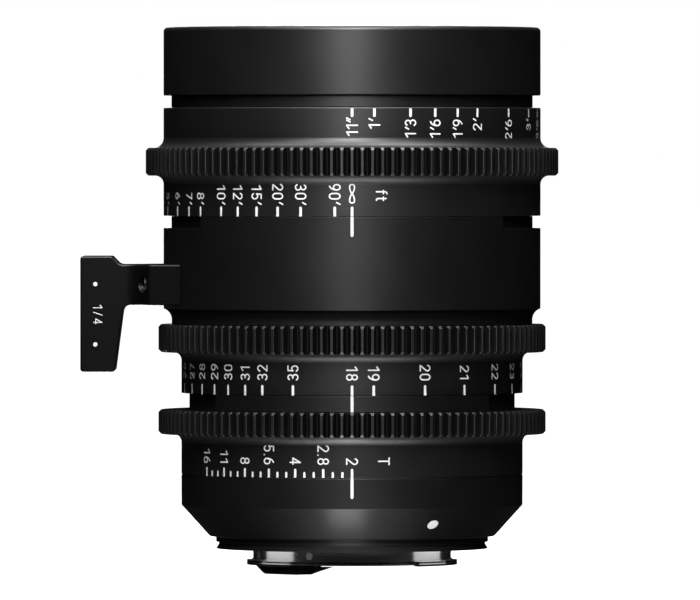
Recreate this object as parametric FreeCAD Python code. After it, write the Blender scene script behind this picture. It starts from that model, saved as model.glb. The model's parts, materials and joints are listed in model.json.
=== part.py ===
import FreeCAD, Part
import math
import os

# Cinema zoom lens with a foot on its left side.
# Row frame: the origin is the centre of the mount's flange face, +Z runs along the
# optical axis to the front of the lens, -Y is the side with the index lines and -X
# is the side with the foot. All sizes are in millimetres.
# An angle "theta" is counted from the index line towards +X, seen from the front view.

# Outside diameters
front_diameter = 95.0
filter_thread_diameter = 82.0
filter_thread_length = 4.0
filter_thread_step = 1.0
filter_thread_chamfer = 0.8
groove_diameter = 91.0
small_ring_diameter = 86.0
index_band_diameter = 82.0
index_plate_half_angle = 52.7
collar_diameter = 68.6
neck_diameter = 90.9

# Lengths along the axis, from the flange to the front
flange_thickness = 1.5
shim_thickness = 0.2
collar_height = 1.4
cone_height = 7.9
rear_barrel_height = 7.8
iris_barrel_height = 10.1
iris_gear_height = 6.2
index_band_height = 4.1
zoom_barrel_height = 10.3
gear_height = 7.0
neck_height = 4.1
main_barrel_height = 20.1
groove_height = 3.1
focus_barrel_height = 10.1
front_ring_height = 17.1
cone_step = 1.6
cone_rounding = 0.8
shoulder_radius = 3.0

# Front ring, collar and trim ring
front_edge_radius = 1.0
front_seat_wall = 1.45
front_seat_depth = 3.9
front_seat_play = 0.3
front_relief_rise = 5.4
trim_gap = 0.2
trim_rise = 4.0
trim_rim_width = 1.05
trim_thickness = 0.8
trim_lip = 1.5

# Toothed rings: standard follow-focus teeth
tooth_module = 0.8
pressure_angle = 20.0
focus_teeth = 128
small_ring_teeth = 120
dedendum_modules = 1.25
gear_fillet = 2.0
web_step = 0.2

# Fits and gaps
end_play = 0.1
running_fit = 0.05
seat_fit = 0.02
slide_fit = 0.05
loose_fit = 0.1
cut_over = 1.0

# Guide tube, cam drums and walls
tube_diameter = 77.2
tube_wall = 2.2
front_tube_diameter = 85.5
front_tube_wall = 2.25
tube_step_thickness = 2.5
tube_step_drop = 3.2
tube_end_rise = 0.9
shelf_rise = 3.0
shelf_radius = 33.5
zoom_cam_wall = 1.9
focus_cam_wall = 2.0
shell_wall = 3.0
neck_bore_gap = 2.3
barrel_seat_length = 6.0
ring_land_height = 3.0
ring_relief_depth = 1.75

# Travel of the rings and groups
focus_turn = 180.0
zoom_turn = 160.0
iris_turn = 57.6
focus_travel = 7.0
zoom_front_travel = 7.0
zoom_rear_travel = 6.0
follower_radius = 1.5
follower_embed = 2.5
follower_angle = 20.0
group_followers = 3
key_radius = 1.0
key_depth = 1.6
key_angle = 0.0
focus_key_drop = 5.0
zoom_key_drop = 2.7

# Lens groups at rest: infinity focus, widest zoom. Curves are front and rear radii.
focus_cell_low = 82.0
focus_cell_height = 11.0
focus_ledge_height = 3.5
focus_pin_rise = 6.0
focus_glass_radius = 33.0
focus_glass_recess = 2.0
focus_glass_curves = (-160.0, 0.0)
zoom_front_low = 62.0
zoom_front_height = 14.0
zoom_front_ledge_height = 4.0
zoom_front_pin_rise = 10.0
zoom_front_glass_radius = 28.0
zoom_front_glass_recess = 3.0
zoom_front_glass_curves = (80.0, 0.0)
zoom_rear_low = 36.5
zoom_rear_height = 11.0
zoom_rear_ledge_height = 3.0
zoom_rear_pin_rise = 7.0
zoom_rear_glass_radius = 24.0
zoom_rear_glass_recess = 3.0
zoom_rear_glass_curves = (75.0, 0.0)

# Front and rear cells
front_cell_depth = 10.9
front_flange_height = 1.6
front_nose_radius = 38.5
front_nose_depth = 10.7
front_glass_depth = 17.2
front_glass_radius = 34.5
front_glass_edge = 4.0
front_glass_curves = (130.0, -110.0)
front_inner_glass_radius = 31.2
front_inner_glass_drop = 6.0
front_inner_glass_edge = 4.0
front_inner_glass_curves = (0.0, -200.0)
front_retainer_gap = 0.6
rear_nose_step = 1.4
rear_nose_drop = 1.2
rear_ledge_rise = 5.0
rear_glass_inset = 4.7
rear_glass_sink = 1.0
rear_glass_curves = (0.0, 150.0)
rear_cell_flange = 2.0
rear_cell_wall = 4.5
rear_inner_ledge_rise = 3.0
rear_inner_glass_radius = 21.0
rear_inner_glass_edge = 3.5
rear_inner_glass_curves = (90.0, 0.0)
rear_retainer_height = 0.7
glass_ledge = 2.0
glass_fit = 0.03

# Iris: nine blades on pins, turned by a slotted rotor
blade_count = 9
iris_low = 22.5
iris_plate_thickness = 1.2
iris_cover_thickness = 1.0
iris_bore_step = 0.3
blade_lift = 0.15
blade_stack_height = 2.05
blade_pivot_circle = 24.0
blade_open_radius = 14.25
blade_outer_radius = 21.6
blade_tip_angle = 88.0
blade_tip_taper = 6.0
blade_waist_angle = 26.0
blade_heel_angle = -4.0
blade_thickness = 0.12
blade_pitch = 0.2
blade_ratio = 0.51
guide_pin_distance = 8.0
guide_pin_angle = 75.0
pivot_pin_radius = 0.8
guide_pin_radius = 0.6
guide_slot_clearance = 0.1
pivot_ear_radius = 1.6
pivot_ear_angles = (-20.0, -150.0)
guide_ear_radius = 1.3
guide_ear_angles = (130.0, -20.0)
rotor_bore_radius = 16.0
rotor_radius = 32.1
rotor_ledge_width = 2.6
drive_lug_angle = 150.0
drive_lug_half_angle = 4.0
drive_lug_play = 1.5
drive_lug_rotor_grip = 2.0
drive_lug_ring_grip = 3.4
drive_window_play = 0.15

# Mount: three-tab bayonet
bayonet_tube_diameter = 50.5
bayonet_tube_length = 3.75
bayonet_neck_length = 2.5
bayonet_neck_step = 0.3
bayonet_wall = 2.65
bayonet_tab_width = 1.25
bayonet_tab_low = -4.03
bayonet_tab_thickness = 1.23
bayonet_tab_root = 0.8
bayonet_tabs = ((-98.0, -21.0), (39.5, 101.0), (157.0, 218.0))
flange_diameter = 65.2
seal_width = 1.6
seal_neck = 0.65
seal_lip_width = 0.1
seal_lip_height = 0.15
seal_inner_low = 0.2
seal_waist_height = 1.2
seal_flare = 0.05
mount_screw_count = 4
mount_screw_angle = 33.0
mount_screw_head_radius = 1.8
mount_screw_shank_radius = 1.0
mount_screw_head_height = 0.95
mount_screw_recess = 0.1
mount_screw_length = 3.9
shim_bore_gap = 0.4
floor_thickness = 2.5
baffle_thickness = 0.8
baffle_opening = (27.0, 20.0)
board_thickness = 1.2
board_gap = 2.0
board_edge_gap = 0.3

# Contact block on the mount
contact_angle = -47.5
contact_half_angle = 25.0
contact_depth = 6.07
contact_step = 0.3
contact_top_drop = 0.3
contact_corner = 0.8
contact_inset = 0.25
contact_wall = 2.35
contact_flat_half = 6.0
contact_base_half = 11.6
contact_pin_count = 8
contact_pin_pitch = 1.5
contact_pin_size = (1.6, 0.9, 1.4)
contact_screw_angle = 22.0
contact_screw_drop = 1.4
contact_screw_radius = 0.5
contact_screw_head = 0.9
contact_screw_head_depth = 0.7
contact_screw_sink = 0.05
contact_screw_length = 3.6

# White alignment dot on the cone
dot_angle = 30.8
dot_radius = 1.45
dot_depth = 0.6
dot_height_above_cone = 3.8

# Foot: arm and pad on the left of the main barrel
foot_face = 68.3
foot_screw_rise = 6.0
arm_below_screw = 5.2
arm_above_screw = 5.0
pad_above_arm = 2.1
pad_length = 29.1
pad_top_depth = 8.0
pad_arm_depth = 10.0
pad_root_depth = 10.9
pad_low_depth = 8.7
pad_half_width = 10.5
wing_half_width = 19.9
wing_corner = (51.0, 17.7)
wing_corner_radius = 1.2
wing_root_depth = 14.0
foot_inner_end = 40.0
foot_corner = 0.8
foot_fillet = 2.0
foot_flare = 4.0
foot_screw_offset = 14.3
foot_screw_seat = 50.2
foot_screw_head_radius = 2.0
foot_screw_head_height = 1.9
foot_screw_shank_radius = 1.25
foot_screw_length = 7.0
foot_counterbore_play = 0.15
foot_counterbore_length = 8.0
foot_thread_radius = 2.6
foot_thread_depth = 8.0
foot_thread_spacing = 15.2

# Levels along the axis
z_shim = flange_thickness
z_collar = z_shim + shim_thickness
z_cone = z_collar + collar_height
z_rear = z_cone + cone_height
z_iris = z_rear + rear_barrel_height
z_iris_gear = z_iris + iris_barrel_height
z_band = z_iris_gear + iris_gear_height
z_zoom = z_band + index_band_height
z_zoom_gear = z_zoom + zoom_barrel_height
z_neck = z_zoom_gear + gear_height
z_main = z_neck + neck_height
z_groove = z_main + main_barrel_height
z_focus = z_groove + groove_height
z_focus_gear = z_focus + focus_barrel_height
z_focus_top = z_focus_gear + gear_height
z_front_groove = z_focus_top + focus_barrel_height
z_front = z_front_groove + groove_height
z_end = z_front + front_ring_height

# Radii that follow from the sizes above
front_r = front_diameter / 2
groove_r = groove_diameter / 2
small_r = small_ring_diameter / 2
band_r = index_band_diameter / 2
collar_r = collar_diameter / 2
neck_r = neck_diameter / 2
thread_r = filter_thread_diameter / 2
tube_r = tube_diameter / 2
tube_bore = tube_r - tube_wall
front_tube_r = front_tube_diameter / 2
front_tube_bore = front_tube_r - front_tube_wall
zoom_cam_bore = tube_r + running_fit
zoom_cam_r = zoom_cam_bore + zoom_cam_wall
focus_cam_bore = front_tube_r + running_fit
focus_cam_r = focus_cam_bore + focus_cam_wall
flange_r = flange_diameter / 2
bayonet_r = bayonet_tube_diameter / 2
mount_bore = bayonet_r - bayonet_wall
mount_screw_circle = (bayonet_r + flange_r) / 2
rear_nose_r = mount_bore + rear_nose_step
rear_glass_radius = rear_nose_r - rear_glass_inset
relief_r = thread_r - filter_thread_step
front_seat_r = front_tube_r + front_seat_wall

# Foot levels, from the screws that hold it on the main barrel
z_foot_screw = z_main + foot_screw_rise
arm_low = z_foot_screw - arm_below_screw
arm_high = z_foot_screw + arm_above_screw
foot_high = arm_high + pad_above_arm
foot_low = foot_high - pad_length

# Seats inside the barrel
cone_low_r = collar_r + cone_step
z_floor = z_collar + floor_thickness
z_shelf = z_rear + shelf_rise
z_tube_end = z_front_groove + tube_end_rise
z_tube_step = z_groove - tube_step_drop
z_front_seat = z_tube_step + tube_step_thickness
z_front_flange_top = z_tube_end + front_flange_height
z_front_ledge = z_end - front_glass_depth
z_cell_nose = z_end - front_nose_depth
z_thread_end = z_end - filter_thread_chamfer - filter_thread_length
z_trim_top = z_thread_end - trim_gap
z_rear_nose = z_floor - rear_nose_drop

# Heights of the cam followers and of the iris rotor
z_focus_pin = focus_cell_low + focus_pin_rise
z_zoom_front_pin = zoom_front_low + zoom_front_pin_rise
z_zoom_rear_pin = zoom_rear_low + zoom_rear_pin_rise
z_rotor = iris_low + iris_plate_thickness + blade_stack_height

V = FreeCAD.Vector
ORIGIN = V(0, 0, 0)
AXIS = V(0, 0, 1)
OUTWARD = V(1, 0, 0)
FRONT_TURN = -90.0


def side_point(u, v):
    return V(u, 0, v)


def plan_point(u, v):
    return V(u, v, 0)


def outline(corners, place=side_point):
    """Face bounded by corners (u, v) or (u, v, radius), where a radius rounds its corner."""
    trims = []
    count = len(corners)
    for index, corner in enumerate(corners):
        here = place(corner[0], corner[1])
        if len(corner) == 2:
            trims.append((here, None, here))
            continue
        before = place(*corners[index - 1][:2]).sub(here).normalize()
        after = place(*corners[(index + 1) % count][:2]).sub(here).normalize()
        half = before.getAngle(after) / 2
        setback = corner[2] / math.tan(half)
        reach = corner[2] / math.sin(half) - corner[2]
        middle = here + before.add(after).normalize() * reach
        trims.append((here + before * setback, middle, here + after * setback))
    edges = []
    for index, (enter, middle, leave) in enumerate(trims):
        if middle is not None:
            edges.append(Part.Arc(enter, middle, leave).toShape())
        following = trims[(index + 1) % count][0]
        if leave.distanceToPoint(following) > 1e-6:
            edges.append(Part.LineSegment(leave, following).toShape())
    return Part.Face(Part.Wire(edges))


def turned(corners):
    """Solid of revolution about the optical axis from corners (radius, height)."""
    return outline(corners).revolve(ORIGIN, AXIS, 360)


def tube(bore, radius, low, high):
    return turned([(bore, low), (radius, low), (radius, high), (bore, high)])


def facing(shape, theta):
    """Turn a shape built on +X to the angle theta from the index line."""
    turned_copy = shape.copy()
    turned_copy.rotate(ORIGIN, AXIS, theta + FRONT_TURN)
    return turned_copy


def sector(bore, radius, low, high, start, end):
    """Part of a tube between two angles from the index line."""
    face = outline([(bore, low), (radius, low), (radius, high), (bore, high)])
    return facing(face.revolve(ORIGIN, AXIS, end - start), start)


def radial_pin(radius, start, end, theta, height):
    """Round pin along a radius, from the distance start to the distance end."""
    pin = Part.makeCylinder(radius, end - start, V(start, 0, height), OUTWARD)
    return facing(pin, theta)


def around(shape, count, first=0.0):
    """Copies of a shape, evenly spaced round the optical axis."""
    copies = []
    for index in range(count):
        copy = shape.copy()
        copy.rotate(ORIGIN, AXIS, first + 360.0 * index / count)
        copies.append(copy)
    return copies


def toothed_band(teeth, bore, low, high):
    """Band of straight teeth of the standard module, with a round bore."""
    pitch_r = tooth_module * teeth / 2
    tip_r = pitch_r + tooth_module
    root_r = pitch_r - dedendum_modules * tooth_module
    slope = math.tan(math.radians(pressure_angle))
    half_pitch_width = math.pi * tooth_module / 4
    half_tip = (half_pitch_width - tooth_module * slope) / tip_r
    half_root = (half_pitch_width + dedendum_modules * tooth_module * slope) / root_r
    profile = ((root_r, -half_root), (tip_r, -half_tip), (tip_r, half_tip), (root_r, half_root))
    points = []
    for tooth in range(teeth):
        centre = 2 * math.pi * tooth / teeth
        for radius, offset in profile:
            angle = centre + offset
            points.append(V(radius * math.cos(angle), radius * math.sin(angle), low))
    rim = Part.Face(Part.makePolygon(points + points[:1]))
    band = rim.extrude(V(0, 0, high - low))
    return band.cut(Part.makeCylinder(bore, high - low, V(0, 0, low)))


def root_radius(teeth):
    return tooth_module * (teeth / 2 - dedendum_modules)


def save(name, shape):
    if isinstance(shape, list):
        shape = Part.makeCompound(shape)
    shape.exportStep(os.path.join("parts", name + ".step"))
    built[name] = shape


def helical_slot(radius, wall, start_theta, end_theta, start_z, end_z, half_width):
    """Cutter for a slot that climbs a cam drum between two angles, with room for the follower."""
    turn = end_theta - start_theta
    rise = end_z - start_z
    middle_r = radius + wall / 2
    run_out = math.degrees(half_width / middle_r)
    slope = abs(rise / turn)
    height = slope * (abs(turn) + 2 * run_out)
    low_z = min(start_z, end_z) - slope * run_out
    climbs_left = (turn > 0) != (rise > 0)
    low_theta = (start_theta if rise > 0 else end_theta) + (run_out if climbs_left else -run_out)
    path = Part.makeHelix(slope * 360.0, height, middle_r, 0, climbs_left)
    reach = wall / 2 + cut_over
    corners = [(middle_r - reach, -half_width), (middle_r + reach, -half_width),
               (middle_r + reach, half_width), (middle_r - reach, half_width)]
    section = outline(corners).OuterWire
    body = Part.Wire(path.Edges).makePipeShell([section], True, True)
    body.translate(V(0, 0, low_z))
    return facing(body, low_theta)


def straight_slot(radius, wall, theta, low, high, half_width):
    """Cutter for a slot with round ends along the guide tube."""
    reach_in = radius - wall - cut_over
    reach_out = radius + cut_over
    block = Part.makeBox(reach_out - reach_in, 2 * half_width, high - low,
                         V(reach_in, -half_width, low))
    ends = [radial_pin(half_width, reach_in, reach_out, theta, height) for height in (low, high)]
    return [facing(block, theta)] + ends


def follower_thetas():
    return [follower_angle + 360.0 * index / group_followers for index in range(group_followers)]


def lens_element(radius, low, high, front_curve, rear_curve):
    """Glass disc with ground edge from low to high; a positive curve bulges outwards, 0 is flat."""
    def sag(curve):
        if curve == 0:
            return 0.0
        return math.copysign(abs(curve) - math.sqrt(curve * curve - radius * radius), curve)

    def bow(curve, level, direction):
        rim = V(radius, 0, level)
        tip = V(0, 0, level + direction * sag(curve))
        if curve == 0:
            return Part.LineSegment(rim, tip).toShape()
        centre = V(0, 0, tip.z - direction * curve)
        between = rim.add(tip).sub(centre * 2).normalize()
        return Part.Arc(rim, centre + between * abs(curve), tip).toShape()

    front = bow(front_curve, high, 1)
    rear = bow(rear_curve, low, -1)
    edge = Part.LineSegment(V(radius, 0, low), V(radius, 0, high)).toShape()
    stem = Part.LineSegment(V(0, 0, low - sag(rear_curve)), V(0, 0, high + sag(front_curve))).toShape()
    face = Part.Face(Part.Wire(Part.__sortEdges__([front, rear, edge, stem])))
    return face.revolve(ORIGIN, AXIS, 360)


def cell(radius, bore, low, high, ledge_height, pins_at=None):
    """Turned lens cell: glass seat open to the front, ledge behind it, holes for followers."""
    ledge = bore - glass_ledge
    body = turned([(ledge, low), (radius, low), (radius, high), (bore, high),
                   (bore, low + ledge_height), (ledge, low + ledge_height)])
    if pins_at is None:
        return body
    holes = [radial_pin(follower_radius + seat_fit, radius - follower_embed - seat_fit, radius + cut_over,
                        theta, pins_at) for theta in follower_thetas()]
    return body.cut(holes)


def followers(cell_r, drum_r, height):
    """Cam followers pressed into a cell, through the guide tube and the cam drum."""
    return [radial_pin(follower_radius, cell_r - follower_embed, drum_r - loose_fit, theta, height)
            for theta in follower_thetas()]


def front_parts():
    seat_bore = front_seat_r + slide_fit
    seat_top = z_front + front_seat_depth
    save("front_ring", turned([
        (seat_bore, z_front), (front_r, z_front), (front_r, z_end, front_edge_radius),
        (thread_r + filter_thread_chamfer, z_end), (thread_r, z_end - filter_thread_chamfer),
        (thread_r, z_thread_end), (relief_r, z_thread_end), (relief_r, z_front + front_relief_rise),
        (seat_bore, seat_top + front_seat_play)]))
    collar_bore = front_tube_r + seat_fit
    collar_low = z_front_groove + end_play / 2
    save("front_collar", turned([
        (collar_bore, collar_low), (groove_r, collar_low), (groove_r, z_front), (front_seat_r, z_front),
        (front_seat_r, seat_top), (relief_r, seat_top), (relief_r, z_front_flange_top),
        (collar_bore, z_front_flange_top)]))
    glass_bore = front_glass_radius + glass_fit
    inner_bore = front_inner_glass_radius + glass_fit
    ledge = inner_bore - glass_ledge
    spigot_r = front_tube_bore - loose_fit
    cell_low = z_tube_end - front_cell_depth
    inner_top = z_front_ledge - front_inner_glass_drop
    save("front_cell", turned([
        (inner_bore, cell_low), (spigot_r, cell_low), (spigot_r, z_tube_end),
        (front_tube_r - loose_fit, z_tube_end), (front_tube_r - loose_fit, z_front_flange_top),
        (front_nose_radius, z_front_flange_top), (front_nose_radius, z_cell_nose), (glass_bore, z_cell_nose),
        (glass_bore, z_front_ledge), (ledge, z_front_ledge), (ledge, inner_top), (inner_bore, inner_top)]))
    edge_top = z_front_ledge + front_glass_edge
    save("front_element", lens_element(front_glass_radius, z_front_ledge, edge_top, *front_glass_curves))
    save("front_inner_element", lens_element(
        front_inner_glass_radius, inner_top - front_inner_glass_edge, inner_top, *front_inner_glass_curves))
    save("front_retaining_ring", tube(
        front_glass_radius - glass_ledge, front_glass_radius - glass_fit,
        edge_top + front_retainer_gap, z_cell_nose - loose_fit))
    trim_bore = front_glass_radius - trim_lip
    trim_r = relief_r - slide_fit
    save("front_trim_ring", turned([
        (trim_bore, z_cell_nose), (front_nose_radius, z_cell_nose), (trim_r, z_cell_nose + trim_rise),
        (trim_r, z_trim_top), (trim_r - trim_rim_width, z_trim_top),
        (trim_bore, z_cell_nose + trim_thickness)]))


def tube_parts():
    body = turned([
        (tube_bore, z_shelf), (tube_r, z_shelf), (tube_r, z_tube_step), (front_tube_r, z_tube_step),
        (front_tube_r, z_tube_end), (front_tube_bore, z_tube_end), (front_tube_bore, z_front_seat),
        (tube_bore, z_front_seat)])
    cutters = []
    half = follower_radius + slide_fit
    for theta in follower_thetas():
        cutters += straight_slot(front_tube_r, front_tube_wall, theta,
                                 z_focus_pin, z_focus_pin + focus_travel, half)
        cutters += straight_slot(tube_r, tube_wall, theta,
                                 z_zoom_front_pin - zoom_front_travel, z_zoom_front_pin, half)
        cutters += straight_slot(tube_r, tube_wall, theta,
                                 z_zoom_rear_pin, z_zoom_rear_pin + zoom_rear_travel, half)
    cutters.append(drive_window(tube_bore - cut_over, tube_r + cut_over))
    save("main_tube", body.cut(cutters))
    band_bore = tube_r + seat_fit
    band_top = z_zoom - end_play
    plates = index_plates(band_bore, band_r, small_r, z_band, band_top)
    save("index_band", tube(band_bore, band_r, z_band, band_top).fuse(plates).removeSplitter())

    seat_r = front_tube_r + seat_fit
    shell_bore = front_r - shell_wall
    neck_bore = zoom_cam_r + neck_bore_gap
    reach = neck_r + shoulder_radius + cut_over
    barrel = turned([
        (neck_bore, z_neck + end_play), (neck_r, z_neck + end_play), (neck_r, z_main, shoulder_radius),
        (reach, z_main), (reach, z_groove), (groove_r, z_groove), (groove_r, z_focus - end_play),
        (seat_r, z_focus - end_play),
        (seat_r, z_focus - barrel_seat_length), (shell_bore, z_focus - barrel_seat_length),
        (shell_bore, z_main), (neck_bore, z_main)])
    barrel = barrel.common(Part.makeCylinder(front_r, z_end))
    plates = index_plates(seat_r, groove_r, front_r, z_groove, z_focus - end_play)
    barrel = barrel.fuse(plates).removeSplitter()
    holes = [foot_screw(side, seat_fit) for side in (-1, 1)]
    save("main_barrel", barrel.cut(holes))


def index_plates(bore, wall_r, radius, low, high):
    """Plates on a tube's wall, in front and behind, that bring the index lines flush with the rings."""
    root = (bore + wall_r) / 2
    return [sector(root, radius, low, high, middle - index_plate_half_angle, middle + index_plate_half_angle)
            for middle in (0.0, 180.0)]


def drive_window(bore, radius):
    """Cutter for the arc window that the iris drive lug sweeps through."""
    play = drive_lug_half_angle + drive_lug_play
    low = z_rotor - drive_window_play
    high = z_rotor + iris_plate_thickness + drive_window_play
    return sector(bore, radius, low, high, drive_lug_angle - play, drive_lug_angle + iris_turn + play)


def rear_parts():
    bore = rear_nose_r + loose_fit
    seat_bore = tube_r + seat_fit
    top = z_iris - end_play
    body = turned([
        (bore, z_collar), (collar_r, z_collar), (collar_r, z_cone), (cone_low_r, z_cone, cone_rounding),
        (small_r, z_rear), (small_r, top), (seat_bore, top), (seat_bore, z_shelf),
        (shelf_radius, z_shelf), (shelf_radius, z_floor), (bore, z_floor)])
    screw_hole = Part.makeCylinder(mount_screw_shank_radius + seat_fit, floor_thickness,
                                   V(mount_screw_circle, 0, z_collar))
    body = body.cut(around(screw_hole, mount_screw_count, mount_screw_angle))
    dot = alignment_dot()
    save("rear_barrel", body.cut(dot))
    save("alignment_dot", dot)
    save("circuit_board", tube(
        rear_nose_r + board_gap, shelf_radius - board_edge_gap, z_floor, z_floor + board_thickness))


def alignment_dot():
    """Round paint-filled recess, square to the cone."""
    height = z_cone + dot_height_above_cone
    run = small_r - cone_low_r
    radius = cone_low_r + run * dot_height_above_cone / cone_height
    normal = V(cone_height, 0, -run).normalize()
    start = V(radius, 0, height).sub(normal * dot_depth)
    return facing(Part.makeCylinder(dot_radius, dot_depth, start, normal), dot_angle)


def mount_parts():
    neck_r_bayonet = bayonet_r - bayonet_neck_step
    body = turned([
        (mount_bore, -bayonet_tube_length), (bayonet_r, -bayonet_tube_length), (bayonet_r, -bayonet_neck_length),
        (neck_r_bayonet, -bayonet_neck_length), (neck_r_bayonet, 0), (flange_r, 0), (flange_r, flange_thickness),
        (mount_bore, flange_thickness)])
    tabs = [sector(bayonet_r - bayonet_tab_root, bayonet_r + bayonet_tab_width, bayonet_tab_low,
                   bayonet_tab_low + bayonet_tab_thickness, start, end) for start, end in bayonet_tabs]
    body = body.fuse(tabs)
    on_circle = V(mount_screw_circle, 0, 0)
    heads = Part.makeCylinder(mount_screw_head_radius + loose_fit,
                              mount_screw_recess + mount_screw_head_height, on_circle)
    through = Part.makeCylinder(mount_screw_shank_radius + loose_fit, z_collar, on_circle)
    cutters = around(heads.fuse(through), mount_screw_count, mount_screw_angle)
    body = body.cut(cutters + contact_screws(loose_fit / 2, cut_over))
    save("bayonet_mount", body.removeSplitter())

    shim = tube(rear_nose_r + shim_bore_gap, flange_r - loose_fit, z_shim, z_collar)
    save("mount_shim", shim.cut(around(through, mount_screw_count, mount_screw_angle)))

    sunk = on_circle + AXIS * mount_screw_recess
    head = Part.makeCylinder(mount_screw_head_radius, mount_screw_head_height, sunk)
    shank = Part.makeCylinder(mount_screw_shank_radius, mount_screw_length, sunk)
    save("mount_screws", around(head.fuse(shank).removeSplitter(), mount_screw_count, mount_screw_angle))

    seal_bore = flange_r + slide_fit
    seal_r = flange_r + seal_width
    waist_r = seal_r - seal_neck
    save("mount_seal", turned([
        (seal_bore, seal_inner_low), (seal_r - seal_lip_width, 0.0), (seal_r, seal_lip_height),
        (waist_r, seal_waist_height), (waist_r + seal_flare, z_collar), (seal_bore, z_collar)]))

    width, depth = baffle_opening
    opening = Part.makeBox(width, depth, baffle_thickness + cut_over, V(-width / 2, -depth / 2, z_shim))
    plate = Part.makeCylinder(rear_nose_r, baffle_thickness, V(0, 0, z_shim))
    save("rear_baffle", plate.cut(opening))


def contact_screws(clearance, extra=0.0):
    """Two small screws that hold the contact block, through the wall of the bayonet tube."""
    surface = bayonet_r - bayonet_neck_step
    screws = []
    for side in (-1, 1):
        theta = contact_angle + side * contact_screw_angle
        under_head = surface - contact_screw_head_depth
        head = radial_pin(contact_screw_head + clearance, under_head - clearance,
                          surface - contact_screw_sink + extra, theta, -contact_screw_drop)
        shank = radial_pin(contact_screw_radius + clearance, surface - contact_screw_length, under_head,
                           theta, -contact_screw_drop)
        screws.append(head.fuse(shank).removeSplitter())
    return screws


def contact_parts():
    inner = mount_bore - contact_wall
    base = -bayonet_tube_length - contact_step
    top = sector(inner, mount_bore - seat_fit, base, flange_thickness - contact_top_drop,
                 contact_angle - contact_half_angle, contact_angle + contact_half_angle)
    ends = outline([(-contact_base_half, base), (-contact_flat_half, -contact_depth, contact_corner),
                    (contact_flat_half, -contact_depth, contact_corner), (contact_base_half, base)])
    wedge = ends.extrude(V(0, flange_r, 0))
    wedge.rotate(ORIGIN, AXIS, FRONT_TURN)
    ring = tube(inner, bayonet_r - contact_inset, -contact_depth, base)
    block = facing(wedge.common(ring), contact_angle).fuse(top).removeSplitter()
    pins = []
    middle = (contact_pin_count - 1) / 2
    for index in range(contact_pin_count):
        offset = (index - middle) * contact_pin_pitch - contact_pin_size[1] / 2
        place = V(inner + contact_wall / 2, offset, -contact_depth)
        pins.append(facing(Part.makeBox(*contact_pin_size, place), contact_angle))
    block = block.cut(pins + contact_screws(seat_fit))
    save("contact_block", block)
    save("contact_pins", pins)
    save("contact_screws", contact_screws(0.0))


def rear_cell_parts():
    nose_bore = rear_glass_radius + glass_fit
    upper_bore = rear_inner_glass_radius + glass_fit
    ledge = nose_bore - glass_ledge
    flange_edge = tube_bore - loose_fit
    flange_top = z_shelf + rear_cell_flange
    wall_r = rear_inner_glass_radius + rear_cell_wall
    z_ledge = z_rear_nose + rear_ledge_rise
    z_upper_ledge = z_shelf + rear_inner_ledge_rise
    save("rear_cell", turned([
        (nose_bore, z_rear_nose), (rear_nose_r, z_rear_nose), (rear_nose_r, z_shelf),
        (flange_edge, z_shelf), (flange_edge, flange_top), (wall_r, flange_top), (wall_r, iris_low),
        (upper_bore, iris_low),
        (upper_bore, z_upper_ledge), (ledge, z_upper_ledge), (ledge, z_ledge), (nose_bore, z_ledge)]))
    save("rear_element", lens_element(
        rear_glass_radius, z_rear_nose + rear_glass_sink, z_ledge, *rear_glass_curves))
    save("rear_inner_element", lens_element(
        rear_inner_glass_radius, z_upper_ledge, z_upper_ledge + rear_inner_glass_edge,
        *rear_inner_glass_curves))
    save("rear_retaining_ring", tube(
        nose_bore - glass_ledge, rear_glass_radius - glass_fit,
        z_rear_nose, z_rear_nose + rear_retainer_height))


def ring_with_gear(bore, radius, low, gear_low, gear_high, high, teeth, relief=None):
    """Control ring: barrel, concave fillets and a toothed band, with bearing lands in its bore."""
    web = root_radius(teeth) - web_step
    corners = [(bore, low), (radius, low), (radius, gear_low, gear_fillet),
               (web, gear_low), (web, gear_high)]
    if high > gear_high:
        corners += [(radius, gear_high, gear_fillet), (radius, high)]
    corners.append((bore, high))
    if relief:
        deep, start, end = relief
        corners += [(bore, end), (deep, end), (deep, start), (bore, start)]
    teeth_bore = (radius + web) / 2
    return turned(corners).fuse(toothed_band(teeth, teeth_bore, gear_low, gear_high)).removeSplitter()


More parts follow.
